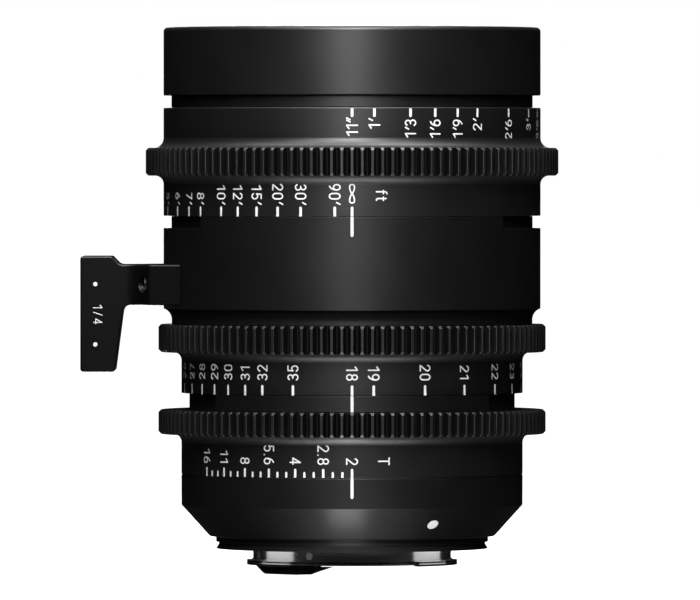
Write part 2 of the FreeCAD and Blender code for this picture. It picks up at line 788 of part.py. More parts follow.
def control_rings():
    focus_bore = focus_cam_r + seat_fit
    focus_ring = ring_with_gear(focus_bore, front_r, z_focus, z_focus_gear, z_focus_top,
                                z_front_groove - end_play / 2, focus_teeth)
    key_height = z_front_groove - focus_key_drop
    key = radial_pin(key_radius, focus_cam_r - key_depth, focus_cam_r + key_depth, key_angle, key_height)
    save("focus_ring", focus_ring.cut(key))
    save("focus_key", key)
    drum = tube(focus_cam_bore, focus_cam_r, z_focus + end_play, z_front_groove - 2 * end_play).cut(key)
    half = follower_radius + slide_fit
    for theta in follower_thetas():
        drum = drum.cut(helical_slot(focus_cam_bore, focus_cam_wall, theta, theta - focus_turn,
                                     z_focus_pin, z_focus_pin + focus_travel, half))
    save("focus_cam", drum)

    zoom_bore = zoom_cam_r + seat_fit
    zoom_ring = ring_with_gear(zoom_bore, small_r, z_zoom, z_zoom_gear, z_neck, z_neck, small_ring_teeth)
    key_height = z_neck - zoom_key_drop
    key = radial_pin(key_radius, zoom_cam_r - key_depth, zoom_cam_r + key_depth, key_angle, key_height)
    save("zoom_ring", zoom_ring.cut(key))
    save("zoom_key", key)
    drum = tube(zoom_cam_bore, zoom_cam_r, z_zoom, z_tube_step - 2 * end_play).cut(key)
    for theta in follower_thetas():
        drum = drum.cut(helical_slot(zoom_cam_bore, zoom_cam_wall, theta, theta + zoom_turn,
                                     z_zoom_front_pin, z_zoom_front_pin - zoom_front_travel, half))
        drum = drum.cut(helical_slot(zoom_cam_bore, zoom_cam_wall, theta, theta + zoom_turn,
                                     z_zoom_rear_pin, z_zoom_rear_pin + zoom_rear_travel, half))
    save("zoom_cam", drum)

    iris_bore = tube_r + running_fit
    low = z_iris
    high = z_band - end_play
    relief = (iris_bore + ring_relief_depth, low + ring_land_height, high - ring_land_height)
    iris_ring = ring_with_gear(iris_bore, small_r, low, z_iris_gear, high, high, small_ring_teeth, relief)
    lug = drive_lug(0.0)
    save("iris_ring", iris_ring.cut(drive_lug(seat_fit)))
    save("iris_drive_lug", lug)


def drive_lug(clearance):
    """Flat lug that joins the iris ring to the rotor through the windows."""
    spread = drive_lug_half_angle + clearance
    inner = rotor_radius - drive_lug_rotor_grip - clearance
    outer = tube_r + drive_lug_ring_grip + clearance
    low = z_rotor - clearance
    high = z_rotor + iris_plate_thickness + clearance
    return sector(inner, outer, low, high, drive_lug_angle - spread, drive_lug_angle + spread)


def moving_group(name, cell_r, drum_r, low, height, ledge_height, glass_r, recess, curves, pins_at):
    """Lens cell with its glass and its cam followers."""
    high = low + height
    save(name + "_cell", cell(cell_r, glass_r + glass_fit, low, high, ledge_height, pins_at))
    save(name + "_followers", followers(cell_r, drum_r, pins_at))
    save(name + "_element", lens_element(glass_r, low + ledge_height, high - recess, *curves))


def moving_groups():
    moving_group("focus", front_tube_bore - slide_fit, focus_cam_r, focus_cell_low, focus_cell_height,
                 focus_ledge_height, focus_glass_radius, focus_glass_recess,
                 focus_glass_curves, z_focus_pin)
    zoom_r = tube_bore - slide_fit
    moving_group("zoom_front", zoom_r, zoom_cam_r, zoom_front_low, zoom_front_height,
                 zoom_front_ledge_height, zoom_front_glass_radius, zoom_front_glass_recess,
                 zoom_front_glass_curves, z_zoom_front_pin)
    moving_group("zoom_rear", zoom_r, zoom_cam_r, zoom_rear_low, zoom_rear_height,
                 zoom_rear_ledge_height, zoom_rear_glass_radius, zoom_rear_glass_recess,
                 zoom_rear_glass_curves, z_zoom_rear_pin)


def iris_parts():
    base_top = iris_low + iris_plate_thickness
    ledge_r = rotor_radius - rotor_ledge_width
    rim_r = rotor_radius + running_fit
    outer_r = tube_bore - running_fit
    z_cover = z_rotor + iris_plate_thickness + running_fit
    cover_top = z_cover + iris_cover_thickness
    bore = blade_open_radius + iris_bore_step
    base = turned([
        (bore, iris_low), (outer_r, iris_low), (outer_r, cover_top), (rim_r, cover_top),
        (rim_r, z_rotor - running_fit), (ledge_r, z_rotor - running_fit),
        (ledge_r, base_top), (bore, base_top)])
    hole = Part.makeCylinder(pivot_pin_radius + running_fit, iris_plate_thickness,
                             V(blade_pivot_circle, 0, iris_low))
    base = base.cut(around(hole, blade_count) + [drive_window(rim_r - cut_over, outer_r + cut_over)])
    save("iris_base", base)
    save("iris_cover", tube(ledge_r, rotor_radius, z_cover, cover_top))

    rotor = tube(rotor_bore_radius, rotor_radius, z_rotor, z_rotor + iris_plate_thickness)
    slot = guide_slot(z_rotor, z_rotor + iris_plate_thickness)
    save("iris_rotor", rotor.cut(around(slot, blade_count) + [drive_lug(seat_fit)]))

    for index in range(blade_count):
        level = base_top + blade_lift + blade_pitch * index
        blade = iris_blade(level)
        blade.rotate(ORIGIN, AXIS, 360.0 * index / blade_count)
        save("iris_blade_%d" % (index + 1), blade)


def guide_point(turn):
    """Where a blade's guide pin stands on the rotor, after the ring has turned by some degrees."""
    swing = math.radians(guide_pin_angle + blade_ratio * turn)
    x = blade_pivot_circle + guide_pin_distance * math.cos(swing)
    y = guide_pin_distance * math.sin(swing)
    back = math.radians(-turn)
    return V(x * math.cos(back) - y * math.sin(back), x * math.sin(back) + y * math.cos(back), 0)


def guide_slot(low, high):
    """Curved slot with round ends that follows the guide pin over the whole range."""
    height = high - low
    half = guide_pin_radius + guide_slot_clearance
    arc = Part.Arc(guide_point(0.0), guide_point(iris_turn / 2), guide_point(iris_turn)).toShape().Curve
    centre = V(arc.Center.x, arc.Center.y, low)
    start, end = [math.degrees(math.atan2(point.y - centre.y, point.x - centre.x))
                  for point in (guide_point(iris_turn), guide_point(0.0))]
    band = Part.makeCylinder(arc.Radius + half, height, centre, AXIS, end - start)
    band = band.cut(Part.makeCylinder(arc.Radius - half, height, centre))
    band.rotate(centre, AXIS, start)
    ends = [Part.makeCylinder(half, height, V(point.x, point.y, low))
            for point in (guide_point(0.0), guide_point(iris_turn))]
    return band.fuse(ends)


def arc_edge(centre, radius, start, end):
    """Edge of a circle between two angles."""
    points = [centre + V(math.cos(math.radians(angle)), math.sin(math.radians(angle)), 0) * radius
              for angle in (start, (start + end) / 2, end)]
    return points, Part.Arc(*points).toShape()


def iris_blade(level):
    """Crescent blade with its pivot pin below and its guide pin above."""
    pivot = V(blade_pivot_circle, 0, 0)
    guide = guide_point(0.0)
    stretches = [
        arc_edge(ORIGIN, blade_open_radius, blade_heel_angle, blade_tip_angle),
        arc_edge(ORIGIN, blade_outer_radius, blade_tip_angle - blade_tip_taper, blade_waist_angle),
        arc_edge(guide, guide_ear_radius, *guide_ear_angles),
        arc_edge(pivot, pivot_ear_radius, *pivot_ear_angles)]
    edges = []
    for index, (points, edge) in enumerate(stretches):
        following = stretches[(index + 1) % len(stretches)][0]
        edges += [edge, Part.LineSegment(points[-1], following[0]).toShape()]
    blade = Part.Face(Part.Wire(edges)).extrude(V(0, 0, blade_thickness))
    blade.translate(V(0, 0, level))
    pin_low = iris_low + loose_fit
    pin_high = z_rotor + iris_plate_thickness - loose_fit
    pivot_pin = Part.makeCylinder(pivot_pin_radius, level + blade_thickness - pin_low,
                                  V(pivot.x, pivot.y, pin_low))
    guide_pin = Part.makeCylinder(guide_pin_radius, pin_high - level, V(guide.x, guide.y, level))
    return blade.fuse([pivot_pin, guide_pin]).removeSplitter()


def foot_screw(side, clearance):
    """Cap screw through the foot into the main barrel, along X."""
    y = side * foot_screw_offset
    head = Part.makeCylinder(foot_screw_head_radius + clearance, foot_screw_head_height,
                             V(-foot_screw_seat - foot_screw_head_height, y, z_foot_screw), OUTWARD)
    shank = Part.makeCylinder(foot_screw_shank_radius + clearance, foot_screw_length + clearance,
                              V(-foot_screw_seat, y, z_foot_screw), OUTWARD)
    return head.fuse(shank)


def foot_parts():
    side = outline([
        (-foot_face, foot_low, foot_corner), (pad_low_depth - foot_face, foot_low, foot_corner),
        (pad_root_depth - foot_face, arm_low, foot_fillet), (-foot_inner_end, arm_low),
        (-foot_inner_end, arm_high), (pad_arm_depth - foot_face, arm_high, foot_fillet),
        (pad_top_depth - foot_face, foot_high, foot_corner), (-foot_face, foot_high, foot_corner)])
    body = side.extrude(V(0, 4 * pad_half_width, 0))
    body.translate(V(0, -2 * pad_half_width, 0))
    wing_x = math.sqrt(front_r * front_r - wing_half_width * wing_half_width)
    half = [(-foot_face, -pad_half_width, foot_corner),
            (wing_root_depth - foot_face, -pad_half_width, foot_flare),
            (-wing_corner[0], -wing_corner[1], wing_corner_radius), (-wing_x, -wing_half_width),
            (-foot_inner_end, -wing_half_width)]
    mirrored = [(corner[0], -corner[1]) + tuple(corner[2:]) for corner in reversed(half)]
    plan = outline(half + mirrored, plan_point).extrude(V(0, 0, z_end))
    body = body.common(plan)
    body = body.cut(Part.makeCylinder(front_r + seat_fit, z_end))
    cutters = []
    for sign in (-1, 1):
        y = sign * foot_screw_offset
        mouth = V(-foot_screw_seat - foot_counterbore_length, y, z_foot_screw)
        cutters.append(Part.makeCylinder(
            foot_screw_head_radius + foot_counterbore_play, foot_counterbore_length, mouth, OUTWARD))
        cutters.append(foot_screw(sign, loose_fit))
    for height in (z_foot_screw, z_foot_screw - foot_thread_spacing):
        mouth = V(-foot_face, 0, height)
        cutters.append(Part.makeCylinder(foot_thread_radius, foot_thread_depth, mouth, OUTWARD))
    save("support_foot", body.cut(cutters))
    save("foot_screws", [foot_screw(sign, 0.0).removeSplitter() for sign in (-1, 1)])


built = {}
os.makedirs("parts", exist_ok=True)
front_parts()
tube_parts()
rear_parts()
mount_parts()
contact_parts()
rear_cell_parts()
control_rings()
moving_groups()
iris_parts()
foot_parts()

for name, shape in sorted(built.items()):
    if not shape.isValid() or len(shape.Solids) == 0:
        print("not a sound solid:", name)
print(len(built), "pieces built")
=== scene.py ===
import json
import math

import bmesh
import bpy
import numpy as np
from mathutils import Matrix, Vector
from mathutils.geometry import delaunay_2d_cdt

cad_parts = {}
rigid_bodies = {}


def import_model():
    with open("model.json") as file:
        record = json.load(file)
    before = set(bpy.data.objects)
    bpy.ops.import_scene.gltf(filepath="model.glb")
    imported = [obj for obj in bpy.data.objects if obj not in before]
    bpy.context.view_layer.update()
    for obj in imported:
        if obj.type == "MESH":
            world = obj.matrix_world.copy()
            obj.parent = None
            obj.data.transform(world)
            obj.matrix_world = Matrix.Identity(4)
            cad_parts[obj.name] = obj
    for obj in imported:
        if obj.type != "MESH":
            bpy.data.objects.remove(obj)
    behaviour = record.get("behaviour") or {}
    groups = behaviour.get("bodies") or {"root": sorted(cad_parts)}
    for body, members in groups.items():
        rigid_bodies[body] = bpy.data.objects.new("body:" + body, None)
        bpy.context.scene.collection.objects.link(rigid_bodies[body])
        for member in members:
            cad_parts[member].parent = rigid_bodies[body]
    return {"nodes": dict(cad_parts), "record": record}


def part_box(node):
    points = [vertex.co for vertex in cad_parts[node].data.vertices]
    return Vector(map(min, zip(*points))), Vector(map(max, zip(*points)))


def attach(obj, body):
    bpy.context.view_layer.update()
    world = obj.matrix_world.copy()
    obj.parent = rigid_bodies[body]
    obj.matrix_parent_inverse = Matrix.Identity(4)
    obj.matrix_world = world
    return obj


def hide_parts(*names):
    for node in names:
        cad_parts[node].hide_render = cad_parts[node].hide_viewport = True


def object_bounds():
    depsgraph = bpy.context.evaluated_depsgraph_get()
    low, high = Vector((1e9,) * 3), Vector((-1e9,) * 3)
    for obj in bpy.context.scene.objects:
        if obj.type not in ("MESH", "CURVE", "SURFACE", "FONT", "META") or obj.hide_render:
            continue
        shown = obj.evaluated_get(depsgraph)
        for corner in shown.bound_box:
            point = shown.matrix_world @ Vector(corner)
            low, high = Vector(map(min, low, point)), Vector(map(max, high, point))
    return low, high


# Cinema zoom lens, standing on its mount. Sizes are in millimetres and become metres
# when a mesh is made; the studio at the end is in metres. An angle theta is counted from
# the index line, on -Y, towards +X.

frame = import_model()
cad_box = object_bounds()

MM = 0.001
MICRON = 1e-6
WHITE = (1.0, 1.0, 1.0, 1.0)
FULL_TURN = 2 * math.pi


def low(node):
    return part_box(node)[0].z / MM


def high(node):
    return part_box(node)[1].z / MM


def reach(node):
    """Largest radius of a turned node."""
    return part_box(node)[1].x / MM


# Sizes that the frame gives
FRONT_R = reach("front_ring")
GROOVE_R = reach("front_collar")
BARREL_R = reach("rear_barrel")

# Control rings: teeth, and the heights that lie inside a node
TOOTH_MODULE = 0.8
PRESSURE_ANGLE = math.radians(20.0)
DEDENDUM = 1.25 * TOOTH_MODULE
FOCUS_TEETH = 128
SMALL_TEETH = 120
FOCUS_BARREL_HEIGHT = 10.1
ZOOM_BARREL_HEIGHT = 10.3
IRIS_BARREL_HEIGHT = 10.1
GEAR_HEIGHT = 7.0
FOCUS_BORE = 44.82
ZOOM_BORE = 40.57
IRIS_BORE = 38.65
WEB_STEP = 0.2
FILLET_ABOVE = 2.5
FILLET_BELOW = 2.15
TOOTH_CHAMFER = 0.65
TIP_ROUNDING = 0.07
TIP_SHAVE = 0.002
ROOT_RISE = 0.28
ROOT_BEND = ((0.1, 0.08), (0.02, 0.2), (0.0, 0.32))
ROOT_GAP = 0.02

# Edges of the turned pieces
SEGMENTS = 384
SOFT_EDGE = 0.12
RING_EDGE = 0.3
FRONT_EDGE = 1.0
SMOOTH = "smooth"
HALF_WALL = 0.49
WHOLE_WALL = 0.99
STRAIGHT = math.radians(89.0)
TINY = 1e-7

# Slope of a face, as the upward part of its normal, that picks its finish
BEND_SLOPE = (0.05, 0.99)
CHAMFER_SLOPE = (0.3, 0.95)
FOOT_BEND_SLOPE = (0.15, 0.97)
TOOTH_SHARP = math.radians(25.0)
FOOT_SHARP = math.radians(28.0)

# Barrel, cone and mount collar
PLATE_STEP = 2.0
BAND_R = BARREL_R - PLATE_STEP
RING_WALL = 2.5
GROOVE_HEIGHT = 3.0
PLATE_HALF_ANGLE = 52.7
SHOULDER_RADIUS = 3.0
NECK_R = 45.45
COLLAR_R = 34.3
COLLAR_HEIGHT = 1.4
CONE_LOW_R = 35.9
CONE_HEIGHT = 7.9
CONE_ROUNDING = 0.8

# Painted marks
PAINT_RISE = 0.012
PAINT_DEPTH = 0.03
STROKE = 0.119
FINE_STROKE = 0.085
GLYPH_SPACE = 0.17
APOSTROPHE_SPACE = 0.05
GLYPH_CUT = 0.14
JOINT_SIDES = 12
SIGN_SIZE = 3.0

# Middle range of a noise, and the painted reflection bands of the bayonet tabs: the height where
# each band starts, and its brightness (0.03 paints a dark reflection, 1.0 keeps the bright chrome)
NOISE_RANGE = (0.3, 0.7)
PAINTED_REFLECTION_BANDS = ((-5.0, 0.03), (-3.55, 1.0), (-3.25, 0.03), (-2.9, 1.0))
PAINTED_REFLECTION_TOP = -2.5


# Materials

def grey(shade):
    return shade, shade, shade


def set_inputs(node, values):
    """Set inputs of a node by name; an underscore stands for a space."""
    for name, value in values.items():
        node.inputs[name.replace("_", " ")].default_value = value


def new_node(nodes, kind, **values):
    """New node with some of its inputs set."""
    node = nodes.new(kind)
    set_inputs(node, values)
    return node


def new_material(name, **values):
    """Material whose shader has the given inputs, with its nodes and links."""
    material = bpy.data.materials.new(name)
    material.use_nodes = True
    nodes, links = material.node_tree.nodes, material.node_tree.links
    set_inputs(nodes["Principled BSDF"], values)
    return material, nodes, links


def own_place(nodes):
    """Place in the piece's own metres."""
    return nodes.new("ShaderNodeTexCoord").outputs["Object"]


def noise(nodes, links, scale, detail):
    pattern = new_node(nodes, "ShaderNodeTexNoise", Scale=scale, Detail=detail)
    links.new(own_place(nodes), pattern.inputs["Vector"])
    return pattern


def spread(nodes, links, source, low_value, high_value):
    """Map a noise's middle range to a small range of values."""
    noise_low, noise_high = NOISE_RANGE
    ramp = new_node(nodes, "ShaderNodeMapRange", From_Min=noise_low, From_Max=noise_high,
                    To_Min=low_value, To_Max=high_value)
    links.new(source.outputs[0], ramp.inputs["Value"])
    return ramp


def tint(nodes, links, source, dark, light):
    """Mix two colours by a noise."""
    mix = nodes.new("ShaderNodeMix")
    mix.data_type = "RGBA"
    mix.inputs["A"].default_value = (*dark, 1.0)
    mix.inputs["B"].default_value = (*light, 1.0)
    links.new(source.outputs[0], mix.inputs["Factor"])
    return mix


def turned_noise(nodes, links, scale):
    """Noise that only changes with radius and height, for lathe lines round the axis."""
    spot = own_place(nodes)
    flat = nodes.new("ShaderNodeVectorMath")
    flat.operation = "MULTIPLY"
    flat.inputs[1].default_value = (1.0, 1.0, 0.0)
    radius = nodes.new("ShaderNodeVectorMath")
    radius.operation = "LENGTH"
    axes = nodes.new("ShaderNodeSeparateXYZ")
    join = nodes.new("ShaderNodeCombineXYZ")
    pattern = new_node(nodes, "ShaderNodeTexNoise", Scale=scale, Detail=4.0)
    links.new(spot, flat.inputs[0])
    links.new(flat.outputs["Vector"], radius.inputs[0])
    links.new(spot, axes.inputs["Vector"])
    links.new(radius.outputs["Value"], join.inputs["X"])
    links.new(axes.outputs["Z"], join.inputs["Z"])
    links.new(join.outputs["Vector"], pattern.inputs["Vector"])
    return pattern


def texture(nodes, links, colours, clouds, gloss, lines, relief, depth):
    """Vary colour by clouds and roughness by lines, and add a bump of a real depth in metres."""
    shader = nodes["Principled BSDF"]
    colour = tint(nodes, links, clouds, *colours)
    rough = spread(nodes, links, lines, *gloss)
    bump = new_node(nodes, "ShaderNodeBump", Strength=1.0, Distance=depth)
    links.new(colour.outputs["Result"], shader.inputs["Base Color"])
    links.new(rough.outputs["Result"], shader.inputs["Roughness"])
    links.new(relief.outputs[0], bump.inputs["Height"])
    links.new(bump.outputs["Normal"], shader.inputs["Normal"])


def blasted_black(name, roughness, dark=0.0045, light=0.0065, level=0.5):
    """Fine-blasted, black anodised aluminium with a faint cloudiness."""
    material, nodes, links = new_material(name, Metallic=0.0, Specular_IOR_Level=level, IOR=1.5)
    colours = (dark, dark, dark * 1.06), (light, light, light * 1.05)
    clouds = noise(nodes, links, 90.0, 4.0)
    grain = noise(nodes, links, 9000.0, 2.0)
    gloss = roughness - 0.02, roughness + 0.02
    texture(nodes, links, colours, clouds, gloss, clouds, grain, 4 * MICRON)
    return material


def turned_metal(name, colour, roughness, scale, depth):
    """Turned metal with fine lathe lines."""
    material, nodes, links = new_material(name, Metallic=1.0)
    darker = tuple(channel * 0.93 for channel in colour)
    clouds = noise(nodes, links, 60.0, 3.0)
    lines = turned_noise(nodes, links, scale)
    gloss = roughness * 0.85, roughness * 1.15
    texture(nodes, links, (darker, colour), clouds, gloss, lines, lines, depth)
    return material


def plain_grain(name, colour, roughness, scale, depth, metallic=0.0, level=0.5):
    """Moulded, painted or plated surface with a fine even grain."""
    material, nodes, links = new_material(name, Metallic=metallic, Specular_IOR_Level=level)
    darker = tuple(channel * 0.88 for channel in colour)
    grain = noise(nodes, links, scale, 3.0)
    gloss = roughness * 0.92, roughness * 1.08
    texture(nodes, links, (darker, colour), grain, gloss, grain, grain, depth)
    return material


def glass(name):
    """Multi-coated optical glass with a faint haze of dust."""
    material, nodes, links = new_material(name, Base_Color=WHITE, IOR=1.62, Transmission_Weight=1.0,
                                          Thin_Film_Thickness=480.0, Thin_Film_IOR=1.38)
    haze = spread(nodes, links, noise(nodes, links, 400.0, 4.0), 0.0, 0.012)
    links.new(haze.outputs["Result"], nodes["Principled BSDF"].inputs["Roughness"])
    return material


def banded_chrome(name):
    """Chrome with painted dark reflections on its tabs below their upper edges, but for one bright line."""
    material = turned_metal(name, (0.86, 0.86, 0.87), 0.14, 5000.0, 0.8 * MICRON)
    nodes, links = material.node_tree.nodes, material.node_tree.links
    shader = nodes["Principled BSDF"]
    plated = shader.inputs["Base Color"].links[0].from_socket
    axes = nodes.new("ShaderNodeSeparateXYZ")
    reflections_low = PAINTED_REFLECTION_BANDS[0][0]
    height = new_node(nodes, "ShaderNodeMapRange", From_Min=reflections_low * MM, From_Max=PAINTED_REFLECTION_TOP * MM)
    ramp = nodes.new("ShaderNodeValToRGB")
    ramp.color_ramp.interpolation = "CONSTANT"
    stops = ramp.color_ramp.elements
    for k, (bottom, shade) in enumerate(PAINTED_REFLECTION_BANDS):
        position = (bottom - reflections_low) / (PAINTED_REFLECTION_TOP - reflections_low)
        stop = stops[k] if k < 2 else stops.new(position)
        stop.position = position
        stop.color = (*grey(shade), 1.0)
    # Multiply the chrome colour by the bands: painted dark reflections, with one bright line between them
    mix = nodes.new("ShaderNodeMix")
    mix.data_type = "RGBA"
    mix.blend_type = "MULTIPLY"
    mix.inputs["Factor"].default_value = 1.0
    links.new(own_place(nodes), axes.inputs["Vector"])
    links.new(axes.outputs["Z"], height.inputs["Value"])
    links.new(height.outputs["Result"], ramp.inputs["Fac"])
    links.new(plated, mix.inputs["A"])
    links.new(ramp.outputs["Color"], mix.inputs["B"])
    links.new(mix.outputs["Result"], shader.inputs["Base Color"])
    return material


FINISHES = {
    "satin_black": blasted_black("satin_black_anodised", 0.4),
    "matt_black": plain_grain("matt_black_paint", grey(0.006), 0.7, 1500.0, 4 * MICRON, level=0.3),
    "bare_aluminium": turned_metal("turned_aluminium", (0.78, 0.78, 0.79), 0.3, 9000.0, 3 * MICRON),
    # Bayonet chrome with painted dark reflections on its tabs
    "chrome": banded_chrome("mount_chrome_painted_reflections"),
    "steel": turned_metal("screw_steel", (0.5, 0.5, 0.51), 0.3, 6000.0, 2 * MICRON),
    "blade_steel": plain_grain("blade_steel_black", (0.03, 0.03, 0.032), 0.45, 3000.0, MICRON, metallic=0.6),
    "bronze": turned_metal("follower_bronze", (0.62, 0.42, 0.22), 0.32, 7000.0, 2 * MICRON),
    "gold": plain_grain("contact_gold", (0.95, 0.72, 0.32), 0.22, 2500.0, MICRON, metallic=1.0),
    "contact_plastic": plain_grain("contact_plastic_black", grey(0.012), 0.42, 2500.0, 4 * MICRON),
    "board": plain_grain("circuit_board_green", (0.015, 0.09, 0.035), 0.4, 500.0, 6 * MICRON),
    "seal_rubber": plain_grain("seal_rubber_black", grey(0.01), 0.62, 3500.0, 6 * MICRON, level=0.35),
    "white_mark": plain_grain("white_paint", grey(0.92), 0.55, 3000.0, 2 * MICRON),
    "coated_glass": glass("coated_glass"),
}
SATIN_BLACK = FINISHES["satin_black"]
# Darker, duller copy of the satin black for the tooth flanks: painted shade between the teeth
SHADED_FLANK_BLACK = blasted_black("milled_black_anodised", 0.6, dark=0.001, light=0.0015, level=0.1)
EDGE_BLACK = blasted_black("turned_black_edge", 0.44, level=1.0)
# Darker copy of the satin black for the foot: painted shade
SHADED_FOOT_BLACK = blasted_black("satin_black_foot_painted_shade", 0.42, dark=0.003, light=0.0045, level=0.4)
OWN_FINISHES = {"foot_screws": blasted_black("screw_black_oxide", 0.4, level=0.35)}


def dress_frame():
    """Give each node of the frame its own finish, or that of its slot."""
    for part in frame["record"]["subparts"]:
        node = frame["nodes"][part["node"]]
        node.data.materials.clear()
        node.data.materials.append(OWN_FINISHES.get(part["node"], FINISHES[part["material_slot"]]))


# Meshes

def unit(vector):
    return vector / np.linalg.norm(vector)


def rounded_outline(corners, edge_radius, steps):
    """Closed outline of (radius, height) corners as spans (start, normal, end, normal), and its side.

    A third value rounds the corner, 0 keeps it sharp and SMOOTH shades across it.
    """
    points = [np.array(corner[:2], float) for corner in corners]
    count = len(points)
    area = sum(start[0] * end[1] - end[0] * start[1] for start, end in zip(points[-1:] + points, points))
    side = 1.0 if area > 0 else -1.0

    def wall_normal(start, end):
        run = unit(end - start)
        return np.array([run[1], -run[0]]) * side

    def share(corner):
        """Part of a wall that a bend may use: nearly all of it where the other end stays sharp."""
        return WHOLE_WALL if len(corner) > 2 and corner[2] == 0 else HALF_WALL

    bends = []
    for i, corner in enumerate(corners):
        here, before, after = points[i], points[i - 1], points[(i + 1) % count]
        wish = corner[2] if len(corner) > 2 else edge_radius
        if wish == SMOOTH:
            normal = unit(wall_normal(before, here) + wall_normal(here, after))
            bends.append([(here, normal, normal)])
            continue
        back, ahead = unit(before - here), unit(after - here)
        half = math.acos(max(-1.0, min(1.0, float(back @ ahead)))) / 2
        if wish == 0 or half > STRAIGHT:
            bends.append([(here, wall_normal(before, here), wall_normal(here, after))])
            continue
        room = min(np.linalg.norm(before - here) * share(corners[i - 1]),
                   np.linalg.norm(after - here) * share(corners[(i + 1) % count]))
        radius = min(wish, room * math.tan(half))
        centre = here + unit(back + ahead) * radius / math.sin(half)
        start = here + back * radius / math.tan(half)
        end = here + ahead * radius / math.tan(half)
        first, last = start - centre, end - centre
        turn = math.atan2(first[0] * last[1] - first[1] * last[0], float(first @ last))
        outward = math.copysign(1.0, float(first @ wall_normal(before, here)))
        bend = []
        for step in range(steps + 1):
            angle = turn * step / steps
            arm = np.array([first[0] * math.cos(angle) - first[1] * math.sin(angle),
                            first[0] * math.sin(angle) + first[1] * math.cos(angle)])
            normal = unit(arm) * outward
            bend.append((centre + arm, normal, normal))
        bends.append(bend)
    chain = [point for bend in bends for point in bend]
    spans = []
    for i, (start, _, leaving) in enumerate(chain):
        end, arriving, _ = chain[(i + 1) % len(chain)]
        if np.linalg.norm(end - start) > TINY:
            spans.append((start, leaving, end, arriving))
    return spans, side


def show(name, data):
    """New object of the scene, for the given mesh, light or camera data."""
    obj = bpy.data.objects.new(name, data)
    bpy.context.scene.collection.objects.link(obj)
    return obj


def finish_mesh(name, vertices, faces, material, normals=None):
    """Object from points in millimetres, shaded by given normals or by the angle of its edges."""
    mesh = bpy.data.meshes.new(name)
    mesh.from_pydata((np.asarray(vertices, float) * MM).tolist(), [], faces)
    mesh.materials.append(material)
    mesh.polygons.foreach_set("use_smooth", [True] * len(mesh.polygons))
    if normals is not None:
        mesh.normals_split_custom_set(normals)
    else:
        mesh.set_sharp_from_angle(angle=TOOTH_SHARP)
    mesh.update()
    return show(name, mesh)


def turned(name, corners, steps=3, sector=None):
    """Black solid of revolution with true normals, from corners (radius, height, rounding).

    A sector (from, to) in degrees from the index line leaves the rest of the turn out.
    """
    spans, side = rounded_outline(corners, SOFT_EDGE, steps)
    count = len(spans)
    start_angle, end_angle = sector or (0.0, 360.0)
    segments = round(SEGMENTS * (end_angle - start_angle) / 360.0)
    columns = segments + 1 if sector else segments
    angles = np.radians(start_angle - 90.0 + np.arange(columns) * (end_angle - start_angle) / segments)
    cosines, sines = np.cos(angles), np.sin(angles)
    vertices = np.zeros((count * columns, 3))
    for k, (start, _, _, _) in enumerate(spans):
        rows = slice(k * columns, (k + 1) * columns)
        vertices[rows, 0] = start[0] * cosines
        vertices[rows, 1] = start[0] * sines
        vertices[rows, 2] = start[1]
    faces, normals = [], []
    for k, (_, leaving, _, arriving) in enumerate(spans):
        following = (k + 1) % count
        for j in range(segments):
            nxt = (j + 1) % columns
            quad = [(k, j, leaving), (k, nxt, leaving),
                    (following, nxt, arriving), (following, j, arriving)]
            if side < 0:
                quad.reverse()
            faces.append([row * columns + column for row, column, _ in quad])
            normals += [(n[0] * cosines[c], n[0] * sines[c], n[1]) for _, c, n in quad]
    if sector:
        for column, sign in ((0, -1.0), (segments, 1.0)):
            rim = [k * columns + column for k in range(count)]
            faces.append(rim if sign * side < 0 else rim[::-1])
            normals += [(-sines[column] * sign, cosines[column] * sign, 0.0)] * count
    return finish_mesh(name, vertices, faces, SATIN_BLACK, normals)


def lofted(name, sections):
    """Black skin over sections with the same number of points."""
    count = len(sections[0])
    faces = []
    for k in range(len(sections) - 1):
        for j in range(count):
            nxt = (j + 1) % count
            faces.append([k * count + j, k * count + nxt, (k + 1) * count + nxt, (k + 1) * count + j])
    return finish_mesh(name, np.vstack(sections), faces, SATIN_BLACK)


def shine_bends(obj, bottom, top):
    """Smoother finish on the fillets and rounded edges between two heights."""
    obj.data.materials.append(EDGE_BLACK)
    shades = []
    for face in obj.data.polygons:
        inside = bottom < face.center.z / MM < top
        shades.append(1 if inside and BEND_SLOPE[0] < abs(face.normal.z) < BEND_SLOPE[1] else 0)
    obj.data.polygons.foreach_set("material_index", shades)


def involute(angle):
    return math.tan(angle) - angle


def tooth_outline(teeth):
    """(radius, angle) round a toothed ring, with involute flanks and eased tips and roots."""
    pitch_r = TOOTH_MODULE * teeth / 2
    tip_r = pitch_r + TOOTH_MODULE - TIP_SHAVE
    root_r = pitch_r - DEDENDUM
    base_r = pitch_r * math.cos(PRESSURE_ANGLE)

    def half_angle(radius):
        slope = math.acos(min(1.0, base_r / radius))
        return math.pi / (2 * teeth) + involute(PRESSURE_ANGLE) - involute(slope)

    flank_top = tip_r - TIP_ROUNDING
    flank_low = root_r + ROOT_RISE
    tip, easing = half_angle(tip_r), TIP_ROUNDING / tip_r
    side = [(tip_r, 0.0), (tip_r, tip - 0.8 * easing), (tip_r - 0.3 * TIP_ROUNDING, tip - 0.25 * easing)]
    for share in (0.0, 0.33, 0.67, 1.0):
        radius = flank_top + (flank_low - flank_top) * share
        side.append((radius, half_angle(radius)))
    foot = half_angle(flank_low)
    limit = math.pi / teeth - ROOT_GAP / root_r
    side += [(root_r + rise, min(foot + past / root_r, limit)) for rise, past in ROOT_BEND]
    outline = []
    for tooth in range(teeth):
        centre = tooth * FULL_TURN / teeth
        outline += [(radius, centre - angle) for radius, angle in reversed(side[1:])]
        outline += [(radius, centre + angle) for radius, angle in side]
    return np.array(outline)


